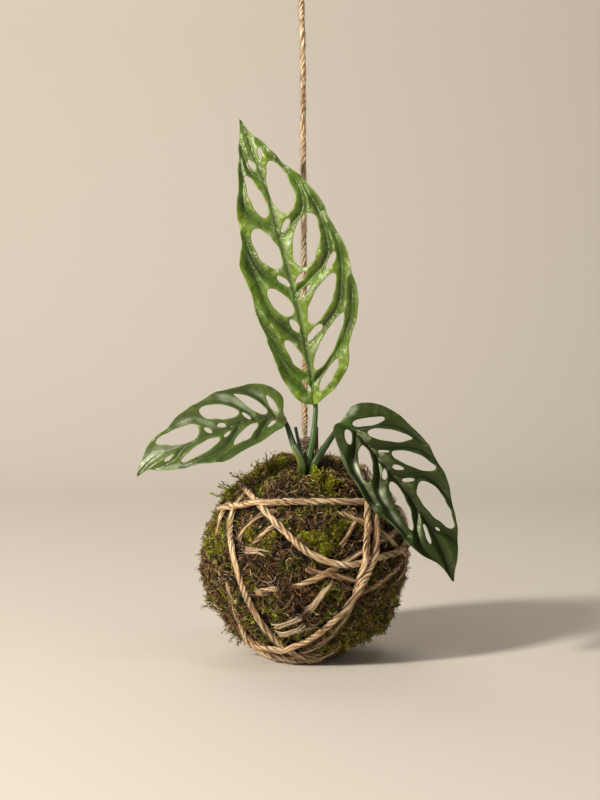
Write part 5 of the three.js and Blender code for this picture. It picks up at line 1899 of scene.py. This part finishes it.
    def thread_colours(self, out: Array, hair: Array, rng: Draws) -> Array:
        """A colour for each thread: brown or green by the patchwork, and straw for most hairs."""
        count = len(out)
        earthy, straw = any_of(self.browns, count, rng), any_of(self.straws, count, rng)
        leafy = any_of(self.greens[:4], count, rng)
        pick = rng.random(count)[:, None] + 0.35 * hair[:, 0]
        is_green = (self.patchwork(out)[0] + rng.normal(0.0, 0.4, count) > 0.0)[:, None]
        colour = np.where(pick < 0.75, np.where(is_green, leafy, earthy), straw)
        return colour * rng.uniform(0.6, 1.6, (count, 1))

    def curls_and_hairs(self, material: Material) -> None:
        """Makes the tangle over the moss: dark threads curled in loops, and thin pale hairs."""
        rng = np.random.default_rng(self.seed + 5)
        out = self.scatter(self.curls + self.hairs, rng)
        out = out[~self.on_cushion(out)]
        count = len(out)
        hair = (np.arange(count) >= self.curls)[:, None, None]
        line = self.thread_lines(out, hair, rng)
        thick = np.where(hair[:, 0, 0], rng.uniform(0.05, 0.1, count), rng.uniform(0.08, 0.2, count))
        colour = self.thread_colours(out, hair, rng)
        for quarter, here in self.quarters(out):
            skin = strands(line[here], thick[here])
            skin.tint = np.repeat(colour[here], len(skin.points) // int(here.sum()), axis=0)
            skin.uv = None
            make(f"moss_threads_{quarter}", skin.placed_on_floor(), material, smooth=False)

    def sprigs(self) -> dict:
        """The longer sprigs: some where the photograph's stand out of the outline, and a few more."""
        rng = np.random.default_rng(self.seed + 6)
        rows = np.repeat(np.array(self.tall_sprigs), self.tuft, axis=0)
        rows[:, :2] += rng.normal(0.0, 2.2, (len(rows), 2))
        rows[:, 4] *= rng.uniform(0.45, 1.0, len(rows))
        rows[::self.tuft] = self.tall_sprigs
        chosen = directions(rows[:, :2])
        out = np.concatenate([chosen, self.scatter(self.loose_sprigs, rng)])
        flat = any_way_along(out, rng)
        start = out + 0.5 * flat
        start[:len(rows)] = 0.4 * chosen + np.stack([rows[:, 2], 0 * rows[:, 2], rows[:, 3]], axis=1)
        start = unit(start)
        bend = rng.normal(0.0, 0.35, out.shape)
        length = rng.uniform(3.0, 5.0, len(out))
        length[:len(rows)] = rows[:, 4]
        green = palette(self.greens, rng.integers(1, 4, len(out)))
        green[:len(rows)] = palette(self.greens, rows[:, 5].astype(int))
        return self.plan(Habit.SPRIG, out, start, bend, length, green, rng)

    def build(self) -> None:
        """Makes the bed and everything that grows and lies on it."""
        make("moss_bed", self.bed(), BedFinish().material(), ("moss_cover",))
        leafy = MossFinish("moss leaflets").material()
        thread = MossFinish("moss threads", 0.45).material()
        for name, habit, *growth in self.kinds:
            plan = self.shoots(habit, *growth)
            self.carpet(name, leafy, self.in_green(plan) if habit is Habit.STAR else plan)
        self.curls_and_hairs(thread)
        self.carpet("moss_sprigs", leafy, self.sprigs())


# ---- the model's own pieces that stay ----
def dress_inner_nodes(frame: dict) -> None:
    """Gives the soil ball and the rhizome, which stay as modelled, their materials."""
    finishes = {"soil_ball": EarthFinish("soil", "1a120c", "4b3826"),
                "rhizome": EarthFinish("rhizome", "4a3a1e", "8a7a4a")}
    for node, finish in finishes.items():
        for slot in frame["nodes"][node].material_slots:
            slot.material = finish.material()
        LOG.info("%s: kept as modelled", node)


def main() -> None:
    """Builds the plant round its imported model, piece by piece."""
    logging.basicConfig(level=logging.INFO, format="%(message)s")
    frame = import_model()
    Studio().build()
    jute = JuteFinish("jute").material()
    hair = JuteFinish("jute fibres", "e3c799", "c09258", "9a6f42").material()
    cord_jute = JuteFinish("cord jute", "fff3d8", "cfa670", "7a5530").material()
    Cord(Rope(2.95, pitch=13.0, sides=12)).build(cord_jute, hair)
    binding = Binding(Rope(3.75, pitch=17.0, sides=9, flat=0.86, seed=2))
    binding.build(jute, hair)
    for leaf in LEAVES:
        leaf.build()
    crown = Crown()
    for stalk in stalks(crown):
        stalk.build()
    strand_points = np.concatenate([binding.line(), *binding.short_lines(binding.scraps)])
    MossBall(strand_points, crown).build()
    dress_inner_nodes(frame)


if __name__ == "__main__":
    main()
